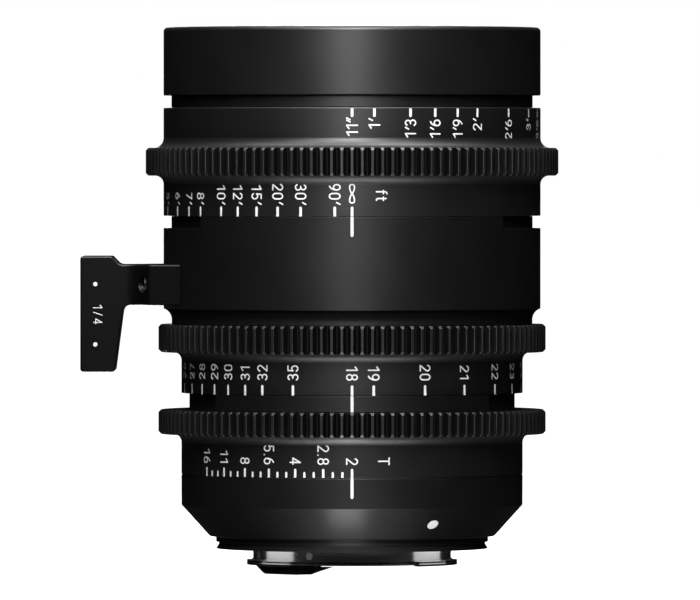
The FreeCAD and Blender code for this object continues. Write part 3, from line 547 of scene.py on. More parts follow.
def toothed_band(name, teeth, bore, bottom, top):
    """Straight teeth with turned chamfers at both ends, on a ring with a round bore."""
    outline = tooth_outline(teeth)
    tip_r = outline[:, 0].max()

    def section(height, limit):
        radii = np.minimum(outline[:, 0], limit)
        return np.column_stack([radii * np.cos(outline[:, 1]), radii * np.sin(outline[:, 1]),
                                np.full(len(radii), height)])

    shares = (0.0, 0.25, 0.5, 0.75, 1.0)
    sections = [section(bottom, bore)]
    sections += [section(bottom + TOOTH_CHAMFER * s, tip_r - TOOTH_CHAMFER * (1 - s)) for s in shares]
    sections += [section(top - TOOTH_CHAMFER * s, tip_r - TOOTH_CHAMFER * (1 - s)) for s in reversed(shares)]
    sections += [section(top, bore), section(bottom, bore)]
    band = lofted(name, sections)
    band.data.materials.append(SHADED_FLANK_BLACK)
    band.data.materials.append(EDGE_BLACK)
    # Faces take satin black, the painted-shade black on the flanks below the tips, or the shinier edge black
    satin, shaded_flank, shining = range(3)
    shades = []
    for face in band.data.polygons:
        radii = [math.hypot(*band.data.vertices[index].co[:2]) / MM for index in face.vertices]
        lowest, slope = min(radii), abs(face.normal.z)
        eased = lowest > tip_r - 1.1 * TIP_ROUNDING and max(radii) - lowest > 0.2 * TIP_ROUNDING
        if CHAMFER_SLOPE[0] < slope < CHAMFER_SLOPE[1] or eased:
            shades.append(shining)
        elif lowest < tip_r - 1.5 * TIP_ROUNDING and slope < CHAMFER_SLOPE[0]:
            shades.append(shaded_flank)
        else:
            shades.append(satin)
    band.data.polygons.foreach_set("material_index", shades)
    return band


# Lettering: each glyph is strokes of one width in a box of height 1

def arc(centre, radii, start, end, steps):
    """Points on an ellipse between two angles in degrees."""
    angles = np.radians(np.linspace(start, end, steps + 1))
    return [(centre[0] + radii[0] * math.cos(a), centre[1] + radii[1] * math.sin(a)) for a in angles]


def mirrored_half_turn(strokes, width, height):
    return [[(width - x, height - y) for x, y in stroke] for stroke in strokes]


def glyph_strokes():
    """Centre lines of the strokes and the width of each sign."""
    top = 1.0 - STROKE
    wide = 0.45
    mid = wide / 2
    six = [arc((mid, 0.27), (mid, 0.27), 0, 360, 20), arc((0.4, 0.27), (0.4, 0.615), 180, 103, 8)]
    turns = np.linspace(0, FULL_TURN, 49)
    waves = np.sin(2 * turns)
    lobes = list(zip(0.76 * np.cos(turns), 0.4 * np.copysign(np.abs(waves) ** 0.7, waves)))
    eight = [arc((mid, 0.225), (mid, 0.225), 0, 360, 18), arc((mid, 0.66), (0.2, 0.215), 0, 360, 18)]
    oval = (arc((mid, top - 0.28), (mid, 0.28), 0, 180, 12) + arc((mid, 0.28), (mid, 0.28), 180, 360, 12))
    return {
        "0": ([oval + oval[:1]], wide),
        "1": ([[(0.29, 0.0), (0.29, top), (0.02, 0.7)]], 0.36),
        "2": ([arc((mid, top - mid), (mid, mid), 170, -30, 12) + [(0.0, 0.0), (wide, 0.0)]], wide),
        "3": ([arc((0.21, top - 0.215), (0.2, 0.215), 155, -90, 12),
               arc((0.21, 0.225), (0.225, 0.225), 90, -155, 12),
               [(0.14, 0.45), (0.21, 0.45)]], wide - 0.02),
        "4": ([[(0.36, 0.0), (0.36, top), (0.0, 0.24), (0.5, 0.24)]], 0.5),
        "5": ([[(0.42, top), (0.06, top), (0.03, 0.46)],
               arc((0.215, 0.275), (0.225, 0.275), 143, -150, 14)], wide - 0.01),
        "6": (six, wide),
        "7": ([[(0.0, top), (wide, top), (0.14, 0.0)]], wide),
        "8": (eight, wide),
        "9": (mirrored_half_turn(six, wide, top), wide),
        "'": ([[(0.16, top), (0.02, top - 0.27)]], 0.16),
        '"': ([[(0.16, top), (0.02, top - 0.27)], [(0.34, top), (0.2, top - 0.27)]], 0.34),
        "f": ([arc((0.26, top - 0.16), (0.15, 0.16), 80, 180, 6) + [(0.11, 0.0)],
               [(0.0, 0.58), (0.27, 0.58)]], 0.27),
        "t": ([[(0.11, 0.8)] + arc((0.25, 0.14), (0.14, 0.14), 180, 275, 6),
               [(0.0, 0.58), (0.26, 0.58)]], 0.27),
        "T": ([[(0.0, top), (0.56, top)], [(0.28, top), (0.28, 0.0)]], 0.56),
        "/": ([[(0.0, 0.0), (0.3, top)]], 0.3),
        ".": ([[(0.02, 0.0), (0.021, 0.0)]], 0.04),
        "8way": ([[(0.76 + x, 0.44 + 0.5 * y) for x, y in lobes]], 1.52),
    }


def stroke_faces(stroke, width, points, faces):
    """Add a stroke's straight runs and its round joints as overlapping outlines."""
    half = width / 2
    for start, end in zip(stroke, stroke[1:]):
        run = np.array(end) - np.array(start)
        length = np.linalg.norm(run)
        if length < TINY:
            continue
        across = np.array([-run[1], run[0]]) / length * half
        first = len(points)
        for base, sign in ((start, -1), (end, -1), (end, 1), (start, 1)):
            points.append(tuple(np.array(base) + across * sign))
        faces.append([first, first + 1, first + 2, first + 3])
    for x, y in stroke:
        first = len(points)
        for k in range(JOINT_SIDES):
            angle = FULL_TURN * (k + 0.5) / JOINT_SIDES
            points.append((x + half * math.cos(angle), y + half * math.sin(angle)))
        faces.append(list(range(first, first + JOINT_SIDES)))


def united(points, faces):
    """One flat skin from overlapping outlines, cut into bands along Y so that it can be bent."""
    overhang = 0.1
    left, right = min(p[0] for p in points) - overhang, max(p[0] for p in points) + overhang
    top = max(p[1] for p in points)
    level = min(p[1] for p in points) + GLYPH_CUT
    points, cuts = list(points), []
    while level < top:
        points += [(left, level), (right, level)]
        cuts.append((len(points) - 2, len(points) - 1))
        level += GLYPH_CUT
    corners, _, found, _, _, origins = delaunay_2d_cdt([Vector(p) for p in points], cuts, faces, 0, 1e-5)
    kept = [list(face) for face, origin in zip(found, origins) if origin]
    used = sorted({index for face in kept for index in face})
    order = {index: k for k, index in enumerate(used)}
    return (np.array([corners[index][:] for index in used]),
            [[order[index] for index in face] for face in kept])


def make_glyphs(stroke_width, signs=None):
    """Flat skin, faces and width of each sign, at height 1."""
    glyphs = {}
    for sign, (strokes, width) in glyph_strokes().items():
        if signs and sign not in signs:
            continue
        points, faces = [], []
        for stroke in strokes:
            stroke_faces(stroke, stroke_width, points, faces)
        skin, triangles = united(points, faces)
        glyphs[sign] = (skin + stroke_width / 2, triangles, width + stroke_width)
    return glyphs


GLYPHS = make_glyphs(STROKE)
FINE_GLYPHS = make_glyphs(FINE_STROKE, "1/4")


def text_skin(signs, size, glyphs=GLYPHS, space=GLYPH_SPACE):
    """Flat text from the origin along +X, with its width."""
    vertices, faces, pen = [], [], 0.0
    for sign in signs:
        skin, triangles, width = glyphs[sign]
        first = sum(len(block) for block in vertices)
        vertices.append(skin * size + np.array([pen, 0.0]))
        faces += [[first + index for index in face] for face in triangles]
        pen += (width + (APOSTROPHE_SPACE if sign in "'\"" else space)) * size
    return np.vstack(vertices), faces, pen - space * size


def bar_skin(width, length, round_top):
    """Flat bar along +Y for a scale mark, with a rounded or a straight top."""
    half = width / 2
    points = [(-half, 0.0), (half, 0.0)]
    if round_top:
        points += arc((0.0, length - half), (half, half), 0, 180, 8)
    else:
        points += [(half, length), (-half, length)]
    return np.array(points), [list(range(len(points)))]


class PaintLayer:
    """White marks on one cylinder, gathered into one thin piece."""

    def __init__(self, radius):
        self.radius = radius
        self.points = []
        self.faces = []

    def add(self, along, up, faces):
        """Add a flat skin by its way round the cylinder, in millimetres towards +X, and its height."""
        first = len(self.points)
        self.points += list(zip(along, up))
        self.faces += [[first + index for index in face] for face in faces]

    def bar(self, theta, height, width, length, up=True, round_top=True):
        skin, faces = bar_skin(width, length, round_top)
        along = skin[:, 0] + math.radians(theta) * self.radius
        if up:
            self.add(along, height + skin[:, 1], faces)
        else:
            self.add(along, height - skin[:, 1], [list(reversed(face)) for face in faces])

    def text(self, signs, theta, height, falling, space=GLYPH_SPACE):
        """Text along the axis above a height: falling text reads downwards, the other upwards."""
        skin, faces, width = text_skin(signs, SIGN_SIZE, space=space)
        middle = math.radians(theta) * self.radius
        if falling:
            self.add(middle + skin[:, 1] - SIGN_SIZE / 2, height + width - skin[:, 0], faces)
        else:
            self.add(middle - skin[:, 1] + SIGN_SIZE / 2, height + skin[:, 0], faces)

    def build(self, name, body, flat_y=None):
        """Bend the skin round the cylinder, or lay it on a flat face, and give it its thickness."""
        flat = np.array(self.points)
        angles = flat[:, 0] / self.radius if self.radius else np.zeros(len(flat))
        count = len(flat)
        rings = []
        for rise in (PAINT_RISE, PAINT_RISE - PAINT_DEPTH):
            if flat_y is None:
                radius = self.radius + rise
                ring = np.column_stack([radius * np.sin(angles), -radius * np.cos(angles), flat[:, 1]])
            else:
                ring = np.column_stack([flat[:, 0], np.full(count, flat_y - rise), flat[:, 1]])
            rings.append(ring)
        sides = {}
        for face in self.faces:
            for start, end in zip(face, face[1:] + face[:1]):
                if (end, start) in sides:
                    del sides[(end, start)]
                else:
                    sides[(start, end)] = True
        faces = [list(face) for face in self.faces]
        faces += [[count + index for index in reversed(face)] for face in self.faces]
        faces += [[start, count + start, count + end, end] for start, end in sides]
        out = np.column_stack([np.sin(angles), -np.cos(angles), np.zeros(count)])
        normals = [tuple(out[index]) for face in self.faces for index in face]
        normals += [tuple(-out[index]) for face in self.faces for index in reversed(face)]
        for start, end in sides:
            run = rings[0][end] - rings[0][start]
            wall = np.cross(run, -out[start])
            normals += [tuple(wall / max(np.linalg.norm(wall), TINY))] * 4
        skin = finish_mesh(name, np.vstack(rings), faces, FINISHES["white_mark"], normals)
        place(skin, body, "white_mark")


def place(obj, body, slot, *nodes):
    """Let a piece ride and stand for frame nodes; the slot is not used."""
    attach(obj, body)
    if nodes:
        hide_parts(*nodes)


# Housing

def make_front():
    """Front ring with its filter thread, and the collar behind it."""
    bottom, top = low("front_ring"), high("front_ring")
    thread_r, thread_low, thread_high = 41.0, 126.4, 130.4
    pitch, depth, crest = 0.75, 0.38, 0.03
    relief_r = thread_r - 1.0
    relief_low = bottom + 5.4
    seat_r, seat_high = 44.25, bottom + 4.2
    corners = [(seat_r, bottom), (FRONT_R, bottom, 0.15), (FRONT_R, top, FRONT_EDGE),
               (thread_r + 0.8, top, 0.1), (thread_r, thread_high)]
    for turn in range(int((thread_high - thread_low) / pitch)):
        peak = thread_high - 0.1 - pitch * turn
        corners += [(thread_r + depth, peak - 0.45 * pitch, crest), (thread_r, peak - 0.9 * pitch, crest)]
    corners += [(thread_r, thread_low), (relief_r, thread_low), (relief_r, relief_low), (seat_r, seat_high)]
    ring = turned("front_ring_shell", corners, steps=6)
    shine_bends(ring, top - FRONT_EDGE, top)
    place(ring, "housing", "satin_black", "front_ring")

    step, wall, lip, seam = bottom, 1.5, 3.9, 0.02
    rim_r = seat_r - 0.05
    bottom, top = low("front_collar"), high("front_collar")
    collar = turned("front_collar_ring", [
        (seat_r - wall, bottom), (GROOVE_R, bottom), (GROOVE_R, step - seam), (rim_r, step - seam),
        (rim_r, step + lip), (relief_r, step + lip), (relief_r, top), (seat_r - wall, top)])
    place(collar, "housing", "satin_black", "front_collar")


def make_main_barrel():
    """Outer casing: side grooves between the index plates, concave shoulder and neck."""
    bottom, top = low("main_barrel"), high("main_barrel")
    groove = top - GROOVE_HEIGHT
    shoulder_top = bottom + 4.0
    centre_r = NECK_R + SHOULDER_RADIUS
    centre_z = shoulder_top - SHOULDER_RADIUS
    lip = math.degrees(math.acos((centre_r - FRONT_R) / SHOULDER_RADIUS))
    curve = arc((centre_r, centre_z), (SHOULDER_RADIUS, SHOULDER_RADIUS), 180.0, 180.0 - lip, 12)
    lower = [(NECK_R - RING_WALL, bottom), (NECK_R, bottom)]
    lower += [(r, z, SMOOTH) for r, z in curve[:-1]]
    lower.append((*curve[-1], 0))
    inner = [(GROOVE_R - RING_WALL, top), (GROOVE_R - RING_WALL, groove), (NECK_R - RING_WALL, shoulder_top)]
    plate = lower + [(FRONT_R, top)] + inner
    grooved = lower + [(FRONT_R, groove), (GROOVE_R, groove), (GROOVE_R, top)] + inner
    make_walls("main_barrel", plate, grooved)


def make_walls(node, plate, plain):
    """Front and rear index plates of a casing, and the two sides between them."""
    half = PLATE_HALF_ANGLE
    for name, start, end, profile in (("plate_front", -half, half, plate),
                                      ("side_right", half, 180.0 - half, plain),
                                      ("plate_rear", 180.0 - half, 180.0 + half, plate),
                                      ("side_left", 180.0 + half, 360.0 - half, plain)):
        wall = turned(node + "_" + name, profile, sector=(start, end))
        place(wall, "housing", "satin_black", node)


def make_index_band():
    bottom, top = low("index_band"), high("index_band")
    bore = BAND_R - 2.0
    plate, plain = ([(bore, bottom), (radius, bottom), (radius, top), (bore, top)]
                    for radius in (BARREL_R, BAND_R))
    make_walls("index_band", plate, plain)


def make_rear_barrel():
    """Rear barrel with the cone and the mount collar."""
    bottom, top = low("rear_barrel"), high("rear_barrel")
    cone_low = bottom + COLLAR_HEIGHT
    cone_high = cone_low + CONE_HEIGHT
    throat_r, hollow_r, seat_r = 24.1, 33.5, 38.7
    floor, shelf = bottom + 2.5, cone_high + 3.0
    barrel = turned("rear_barrel_shell", [
        (throat_r, bottom), (COLLAR_R, bottom, 0.15), (COLLAR_R, cone_low, 0.1),
        (CONE_LOW_R, cone_low, CONE_ROUNDING), (BARREL_R, cone_high, 0.25), (BARREL_R, top, RING_EDGE),
        (seat_r, top), (seat_r, shelf), (hollow_r, shelf), (hollow_r, floor), (throat_r, floor)], steps=4)
    place(barrel, "housing", "satin_black", "rear_barrel")


# Foot

# A length or start along X counts from the pad's outer edge; other places count from the axis
FOOT_HALF_WIDTH = 10.5
FOOT_INNER_END = 40.0
FOOT_SOFT_EDGE = 1.1
PAD_BOTTOM_LENGTH = 8.7
PAD_TOP_LENGTH = 8.0
PAD_CORNER = 0.8
ARM_LOW_START = 10.9
ARM_HIGH_START = 10.0
ARM_BEND = 2.0
ARM_BELOW = 5.2
ARM_ABOVE = 5.0
WING_START = 14.0
WING_BEND = 4.0
WING_KNEE = (-51.0, 17.7, 1.2)
WING_END = (-43.1, 19.9)
SCREW_HEIGHT = 66.6
SCREW_SIDE = 14.3
SCREW_SEAT = 50.2
SCREW_HOLE_R = 1.35
HEAD_R = 2.0
THREAD_R = 2.6
THREAD_DEPTH = 8.0
THREAD_MOUTH = 0.4
THREAD_SPACING = 15.2
FOOT_DOT_X = -64.5
FOOT_DOTS = (66.65, 51.5)
FOOT_DOT_R = 0.55
FOOT_DOT_SIDES = 24
FOOT_SIGN_X = -63.85
FOOT_SIGN_SIZE = 2.45
FOOT_SIGN_SPACE = 0.3


def bent_outline(corners):
    """Plain list of points along a closed outline with rounded corners."""
    spans, side = rounded_outline(corners, 0, 6)
    points = [span[0] for span in spans]
    return points if side > 0 else points[::-1]


def solid(name, mesh):
    """Object from a finished bmesh."""
    data = bpy.data.meshes.new(name)
    mesh.to_mesh(data)
    mesh.free()
    return show(name, data)


def prism(name, points, direction, start, end):
    """Solid between two planes, from an outline in the plane across the direction ("y" or "z")."""
    mesh = bmesh.new()
    loops = []
    for level in (start, end):
        if direction == "y":
            corners = [(u * MM, level * MM, v * MM) for u, v in points]
        else:
            corners = [(u * MM, v * MM, level * MM) for u, v in points]
        loops.append([mesh.verts.new(corner) for corner in corners])
    count = len(points)
    mesh.faces.new(loops[0])
    mesh.faces.new(loops[1])
    for j in range(count):
        nxt = (j + 1) % count
        mesh.faces.new([loops[0][j], loops[0][nxt], loops[1][nxt], loops[1][j]])
    bmesh.ops.recalc_face_normals(mesh, faces=mesh.faces)
    return solid(name, mesh)


def cylinder_tool(name, radius, start, end, segments):
    """Cutting cylinder between two points in millimetres."""
    start, end = Vector(start), Vector(end)
    mesh = bmesh.new()
    bmesh.ops.create_cone(mesh, cap_ends=True, segments=segments, radius1=radius * MM, radius2=radius * MM,
                          depth=(end - start).length * MM)
    turn = (end - start).to_track_quat("Z", "Y").to_matrix().to_4x4()
    bmesh.ops.transform(mesh, matrix=Matrix.Translation((start + end) / 2 * MM) @ turn, verts=mesh.verts)
    return solid(name, mesh)


def carve(obj, steps):
    """Apply booleans (operation, tool) and bevels (width) in turn, and keep the result as the mesh."""
    for kind, value in steps:
        if kind == "BEVEL":
            bevel = obj.modifiers.new("bevel", "BEVEL")
            bevel.width = value * MM
            bevel.segments = 4
            bevel.limit_method = "ANGLE"
            bevel.angle_limit = math.radians(35.0)
            bevel.use_clamp_overlap = True
        else:
            boolean = obj.modifiers.new("boolean", "BOOLEAN")
            boolean.operation = kind
            boolean.object = value
            boolean.solver = "EXACT"
        graph = bpy.context.evaluated_depsgraph_get()
        data = bpy.data.meshes.new_from_object(obj.evaluated_get(graph))
        obj.modifiers.clear()
        obj.data = data
    for kind, value in steps:
        if kind != "BEVEL":
            bpy.data.objects.remove(value)


def make_foot():
    """Arm and pad with rounded edges, tapped holes and counterbored screws."""
    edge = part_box("support_foot")[0].x / MM
    bottom, top = low("support_foot"), high("support_foot")
    arm_low, arm_high = SCREW_HEIGHT - ARM_BELOW, SCREW_HEIGHT + ARM_ABOVE
    side = bent_outline([
        (edge, bottom, PAD_CORNER), (edge + PAD_BOTTOM_LENGTH, bottom, PAD_CORNER),
        (edge + ARM_LOW_START, arm_low, ARM_BEND), (-FOOT_INNER_END, arm_low), (-FOOT_INNER_END, arm_high),
        (edge + ARM_HIGH_START, arm_high, ARM_BEND), (edge + PAD_TOP_LENGTH, top, PAD_CORNER),
        (edge, top, PAD_CORNER)])
    knee_x, knee_y, knee_bend = WING_KNEE
    end_x, end_y = WING_END
    half = [(edge, -FOOT_HALF_WIDTH), (edge + WING_START, -FOOT_HALF_WIDTH, WING_BEND),
            (knee_x, -knee_y, knee_bend), (end_x, -end_y), (-FOOT_INNER_END, -end_y)]
    mirrored = [(corner[0], -corner[1], *corner[2:]) for corner in reversed(half)]
    lowest, highest = 30.0, 90.0
    foot = prism("foot_body", side, "y", -30.0, 30.0)
    plan = prism("foot_plan", bent_outline(half + mirrored), "z", lowest, highest)
    barrel = cylinder_tool("foot_seat", FRONT_R + 0.02, (0.0, 0.0, lowest), (0.0, 0.0, highest), SEGMENTS)

    def bore(radius, start, end, y, height, segments=48):
        return cylinder_tool("foot_bore", radius, (start, y, height), (end, y, height), segments)

    holes = []
    for height in (SCREW_HEIGHT, SCREW_HEIGHT - THREAD_SPACING):
        holes.append(bore(THREAD_R, edge - 1.0, edge + THREAD_DEPTH, 0.0, height))
        holes.append(bore(THREAD_R + THREAD_MOUTH, edge - 1.0, edge + THREAD_MOUTH, 0.0, height))
    for y in (-SCREW_SIDE, SCREW_SIDE):
        holes.append(bore(HEAD_R + 0.15, -62.0, -SCREW_SEAT, y, SCREW_HEIGHT))
        holes.append(bore(SCREW_HOLE_R, -52.0, -43.0, y, SCREW_HEIGHT, 32))
    carve(foot, [("INTERSECT", plan), ("BEVEL", FOOT_SOFT_EDGE), ("DIFFERENCE", barrel)]
          + [("DIFFERENCE", hole) for hole in holes])
    foot.data.materials.clear()
    # The foot's darker black is painted shade
    foot.data.materials.append(SHADED_FOOT_BLACK)
    foot.data.materials.append(EDGE_BLACK)
    least, most = FOOT_BEND_SLOPE
    shades = []
    for face in foot.data.polygons:
        bend = least < abs(face.normal.z) < most and face.normal.y < -least
        off_axis = math.hypot(face.center.y / MM + SCREW_SIDE, face.center.z / MM - SCREW_HEIGHT)
        shades.append(1 if bend and off_axis >= HEAD_R + 0.3 else 0)
    foot.data.polygons.foreach_set("material_index", shades)
    foot.data.polygons.foreach_set("use_smooth", [True] * len(foot.data.polygons))
    foot.data.set_sharp_from_angle(angle=FOOT_SHARP)
    weighted = foot.modifiers.new("weighted", "WEIGHTED_NORMAL")
    weighted.keep_sharp = True
    place(foot, "housing", "satin_black", "support_foot")


# Control rings

def make_control_ring(node, teeth, barrel_r, below, bore):
    """Barrel with concave fillets beside a toothed band, which starts a way above its bottom."""
    bottom, top = low(node), high(node)
    gear_low = bottom + below
    gear_top = min(gear_low + GEAR_HEIGHT, top)
    web = TOOTH_MODULE * teeth / 2 - DEDENDUM - WEB_STEP
    corners = [(bore, bottom), (barrel_r, bottom), (barrel_r, gear_low, FILLET_BELOW), (web, gear_low, 0),
               (web, gear_top, 0)]
    if top > gear_top + 0.5:
        corners += [(barrel_r, gear_top, FILLET_ABOVE), (barrel_r, top, RING_EDGE)]
    corners.append((bore, top))
    barrel = turned(node + "_barrel", corners, steps=8)
    shine_bends(barrel, gear_low - FILLET_BELOW, top)
    place(barrel, node, "satin_black", node)
    teeth_band = toothed_band(node + "_teeth", teeth, web, gear_low, gear_top)
    place(teeth_band, node, "satin_black")


def make_rings():
    make_control_ring("focus_ring", FOCUS_TEETH, FRONT_R, FOCUS_BARREL_HEIGHT, FOCUS_BORE)
    make_control_ring("zoom_ring", SMALL_TEETH, BARREL_R, ZOOM_BARREL_HEIGHT, ZOOM_BORE)
    make_control_ring("iris_ring", SMALL_TEETH, BARREL_R, IRIS_BARREL_HEIGHT, IRIS_BORE)


# Scales

FOCUS_SCALE = (
    ("8way", 0.0), ("90'", 5.2), ("30'", 15.6), ("20'", 22.9), ("15'", 30.0), ("12'", 36.8), ("10'", 43.4),
    ("8'", 52.8), ("7'", 59.1), ("6'", 66.9), ("5'", 77.0), ("4'", 92.0), ("3'6", 101.6), ("3'", 111.4),
    ("2'6", 124.6), ("2'", 138.9), ("1'9", 146.4), ("1'6", 154.2), ("1'3", 162.2), ("1'", 173.3),
    ('11"', 180.0))
ZOOM_SCALE = (
    (18, 0.0), (19, 7.2), (20, 25.0), (21, 40.7), (22, 56.2), (23, 68.9), (24, 81.5), (25, 92.0), (26, 102.0),
    (27, 111.1), (28, 119.2), (29, 126.9), (30, 134.0), (31, 141.7), (32, 148.7), (35, 160.0))
IRIS_SCALE = ("2", "2.8", "4", "5.6", "8", "11", "16")
IRIS_STEP = 9.6
FOCUS_TURN = 180.0
INDEX_WIDTH = 0.72
MAIN_INDEX_LENGTH = 4.95
REAR_INDEX_LENGTH = 5.1
FOCUS_MARK = (0.67, 2.45)
FOCUS_TEXT_RISE = 3.2
FOCUS_UPPER_TEXT_DROP = 3.05
FOCUS_INCH_DROP = 2.6
INCH_SPACE = 0.08
ZOOM_MARK = (0.66, 2.6)
ZOOM_TEXT_RISE = 3.75
IRIS_MAJOR = (0.61, 2.25)
IRIS_MINOR = (0.56, 1.45)
IRIS_TEXT_RISE = 3.2
FEET_SIGN = (8.9, 3.8)
STOP_SIGN = (10.6, 3.1)


def signs_of(label):
    return [label] if label == "8way" else list(label)


def make_focus_scale():
    """Distances at both edges of the focus ring, which read on opposite sides."""
    layer = PaintLayer(FRONT_R)
    bottom, top = low("focus_ring"), high("focus_ring")
    width, length = FOCUS_MARK
    for label, theta in FOCUS_SCALE:
        layer.bar(-theta, bottom, width, length)
        layer.text(signs_of(label), -theta, bottom + FOCUS_TEXT_RISE, True)
        mirrored = FOCUS_TURN - theta
        layer.bar(mirrored, top - RING_EDGE, width, length - RING_EDGE, up=False)
        inches = '"' in label
        drop = FOCUS_INCH_DROP if inches else FOCUS_UPPER_TEXT_DROP
        space = INCH_SPACE if inches else GLYPH_SPACE
        upper_low = top - drop - text_skin(signs_of(label), SIGN_SIZE, space=space)[2]
        layer.text(signs_of(label), mirrored, upper_low, False, space)
    theta, rise = FEET_SIGN
    layer.text(list("ft"), theta, bottom + rise, True)
    layer.build("focus_scale_marks", "focus_ring")


def make_zoom_scale():
    """Focal lengths below the zoom teeth, twice round the ring."""
    layer = PaintLayer(BARREL_R)
    bottom = low("zoom_ring")
    for start, falling in ((0.0, True), (180.0, False)):
        for label, theta in ZOOM_SCALE:
            layer.bar(start + theta, bottom, *ZOOM_MARK)
            layer.text(list(str(label)), start + theta, bottom + ZOOM_TEXT_RISE, falling)
    layer.build("zoom_scale_marks", "zoom_ring")


def make_iris_scale():
    """Stops at the lower edge of the iris ring, twice round the ring."""
    layer = PaintLayer(BARREL_R)
    bottom = low("iris_ring")
    for start, falling in ((0.0, True), (180.0, False)):
        for index, label in enumerate(IRIS_SCALE):
            theta = start - index * IRIS_STEP
            layer.bar(theta, bottom, *IRIS_MAJOR)
            layer.text(list(label), theta, bottom + IRIS_TEXT_RISE, falling)
            if index + 1 < len(IRIS_SCALE):
                for third in (1, 2):
                    layer.bar(theta - IRIS_STEP * third / 3, bottom, *IRIS_MINOR)
        layer.text(["T"], start + STOP_SIGN[0], bottom + STOP_SIGN[1], falling)
    layer.build("iris_scale_marks", "iris_ring")


def make_index_lines():
    """Fixed index lines on the casing, the band and the rear barrel, on both sides."""
    band = low("index_band")
    lines = (("main_index_marks", FRONT_R, high("main_barrel"), MAIN_INDEX_LENGTH, False),
             ("band_index_marks", BARREL_R, band, high("index_band") - band, True),
             ("rear_index_marks", BARREL_R, high("rear_barrel"), REAR_INDEX_LENGTH, False))
    for name, radius, height, length, rising in lines:
        layer = PaintLayer(radius)
        for theta in (0.0, 180.0):
            layer.bar(theta, height, INDEX_WIDTH, length, up=rising, round_top=not rising)
        layer.build(name, "housing")


def make_foot_marks():
    """Thread size between two dots on the front face of the foot."""
    layer = PaintLayer(0.0)
    turns = [FULL_TURN * k / FOOT_DOT_SIDES for k in range(FOOT_DOT_SIDES)]
    for height in FOOT_DOTS:
        layer.add([FOOT_DOT_X + FOOT_DOT_R * math.cos(turn) for turn in turns],
                  [height + FOOT_DOT_R * math.sin(turn) for turn in turns], [list(range(FOOT_DOT_SIDES))])
    skin, faces, width = text_skin(list("1/4"), FOOT_SIGN_SIZE, FINE_GLYPHS, FOOT_SIGN_SPACE)
    middle = sum(FOOT_DOTS) / 2
    layer.add(FOOT_SIGN_X + skin[:, 1] - FOOT_SIGN_SIZE / 2, middle + width / 2 - skin[:, 0], faces)
    layer.build("foot_marks", "housing", flat_y=-FOOT_HALF_WIDTH)


def soften_edges():
    """Small rounded edges on frame nodes that stay as they are."""
    for name, width in (("bayonet_mount", 0.13), ("contact_block", 0.15)):
        bevel = frame["nodes"][name].modifiers.new("soft_edges", "BEVEL")
        bevel.width = width * MM
        bevel.segments = 3
        bevel.limit_method = "ANGLE"
        bevel.angle_limit = math.radians(40.0)
        bevel.harden_normals = True


dress_frame()
make_front()
make_main_barrel()
make_index_band()
make_rear_barrel()
make_rings()
make_focus_scale()
make_zoom_scale()
make_iris_scale()
make_index_lines()
make_foot()
make_foot_marks()
soften_edges()


# Studio

ROOM_GLOW = 0.004
FLOOR_DROP = 0.00002
FLOOR_HALF = 30.0
CAMERA_PLACE = (0.0, -3.05, 0.0967)
CAMERA_AIM = (-0.00052, 0.0, 0.06255)
CAMERA_LENS = 622.3


def point_at(obj, spot, target):
    """Put a light or the camera at a spot and turn it to a target."""
    obj.location = spot
    aim = Vector(target) - Vector(spot)
    obj.rotation_mode = "QUATERNION"
    obj.rotation_quaternion = aim.to_track_quat("-Z", "Y")


def make_world():
    """White surroundings for the eye, nearly dark ones for the light on the lens."""
    world = bpy.data.worlds.new("studio")
    bpy.context.scene.world = world
    world.use_nodes = True
    nodes, links = world.node_tree.nodes, world.node_tree.links
    nodes.clear()
    path = nodes.new("ShaderNodeLightPath")
    mix = nodes.new("ShaderNodeMixShader")
    out = nodes.new("ShaderNodeOutputWorld")
    for socket, strength in ((1, ROOM_GLOW), (2, 1.0)):
        background = new_node(nodes, "ShaderNodeBackground", Color=WHITE, Strength=strength)
        links.new(background.outputs["Background"], mix.inputs[socket])
    links.new(path.outputs["Is Camera Ray"], mix.inputs["Fac"])
    links.new(mix.outputs["Shader"], out.inputs["Surface"])


def make_floor():
    """Pale plane under the mount that casts no shadow and lets the lights below shine through."""
    bottom = cad_box[0].z - FLOOR_DROP
    corners = [(x * FLOOR_HALF, y * FLOOR_HALF, bottom) for x, y in ((-1, -1), (1, -1), (1, 1), (-1, 1))]
    mesh = bpy.data.meshes.new("floor")
    mesh.from_pydata(corners, [], [[0, 1, 2, 3]])
    floor = show("floor", mesh)
    material, _, _ = new_material("floor_white", Base_Color=(*grey(0.9), 1.0), Roughness=0.9,
                                  Specular_IOR_Level=0.0, Emission_Color=WHITE, Emission_Strength=1.1)
    mesh.materials.append(material)
    floor.visible_glossy = False
    floor.visible_diffuse = False
    floor.visible_shadow = False


# Start of a light's name, and what the light is kept off or limited to, by the start of piece names
KEPT_OFF = {
    "low_strip": ["bayonet_mount"],
    "under": ["main_barrel_", "foot_body", "contact_block"],
    "key": ["foot_body", "foot_screws"],
    "back": ["foot_body", "contact_block", "zoom_ring_teeth", "iris_ring_"],
}
LIMITED_TO = {
    "mark": ["focus_scale_marks", "zoom_scale_marks", "iris_scale_marks", "main_index_marks",
             "band_index_marks", "rear_index_marks", "alignment_dot"],
    "iris": ["iris_ring_"],
    "foot": ["foot_body", "foot_screws", "zoom_ring_teeth"],
    "dot": ["alignment_dot"],
    "rings": ["focus_ring_", "zoom_ring_", "iris_ring_"],
    "mount": ["bayonet_mount", "contact_screws"],
}


def chosen(name, starts, state):
    """Collection that keeps a light off the pieces whose names start so, or on them alone."""
    collection = bpy.data.collections.new(name)
    for obj in bpy.context.scene.objects:
        if obj.name.startswith(tuple(starts)):
            collection.objects.link(obj)
    for linked in collection.collection_objects:
        linked.light_linking.link_state = state
    return collection


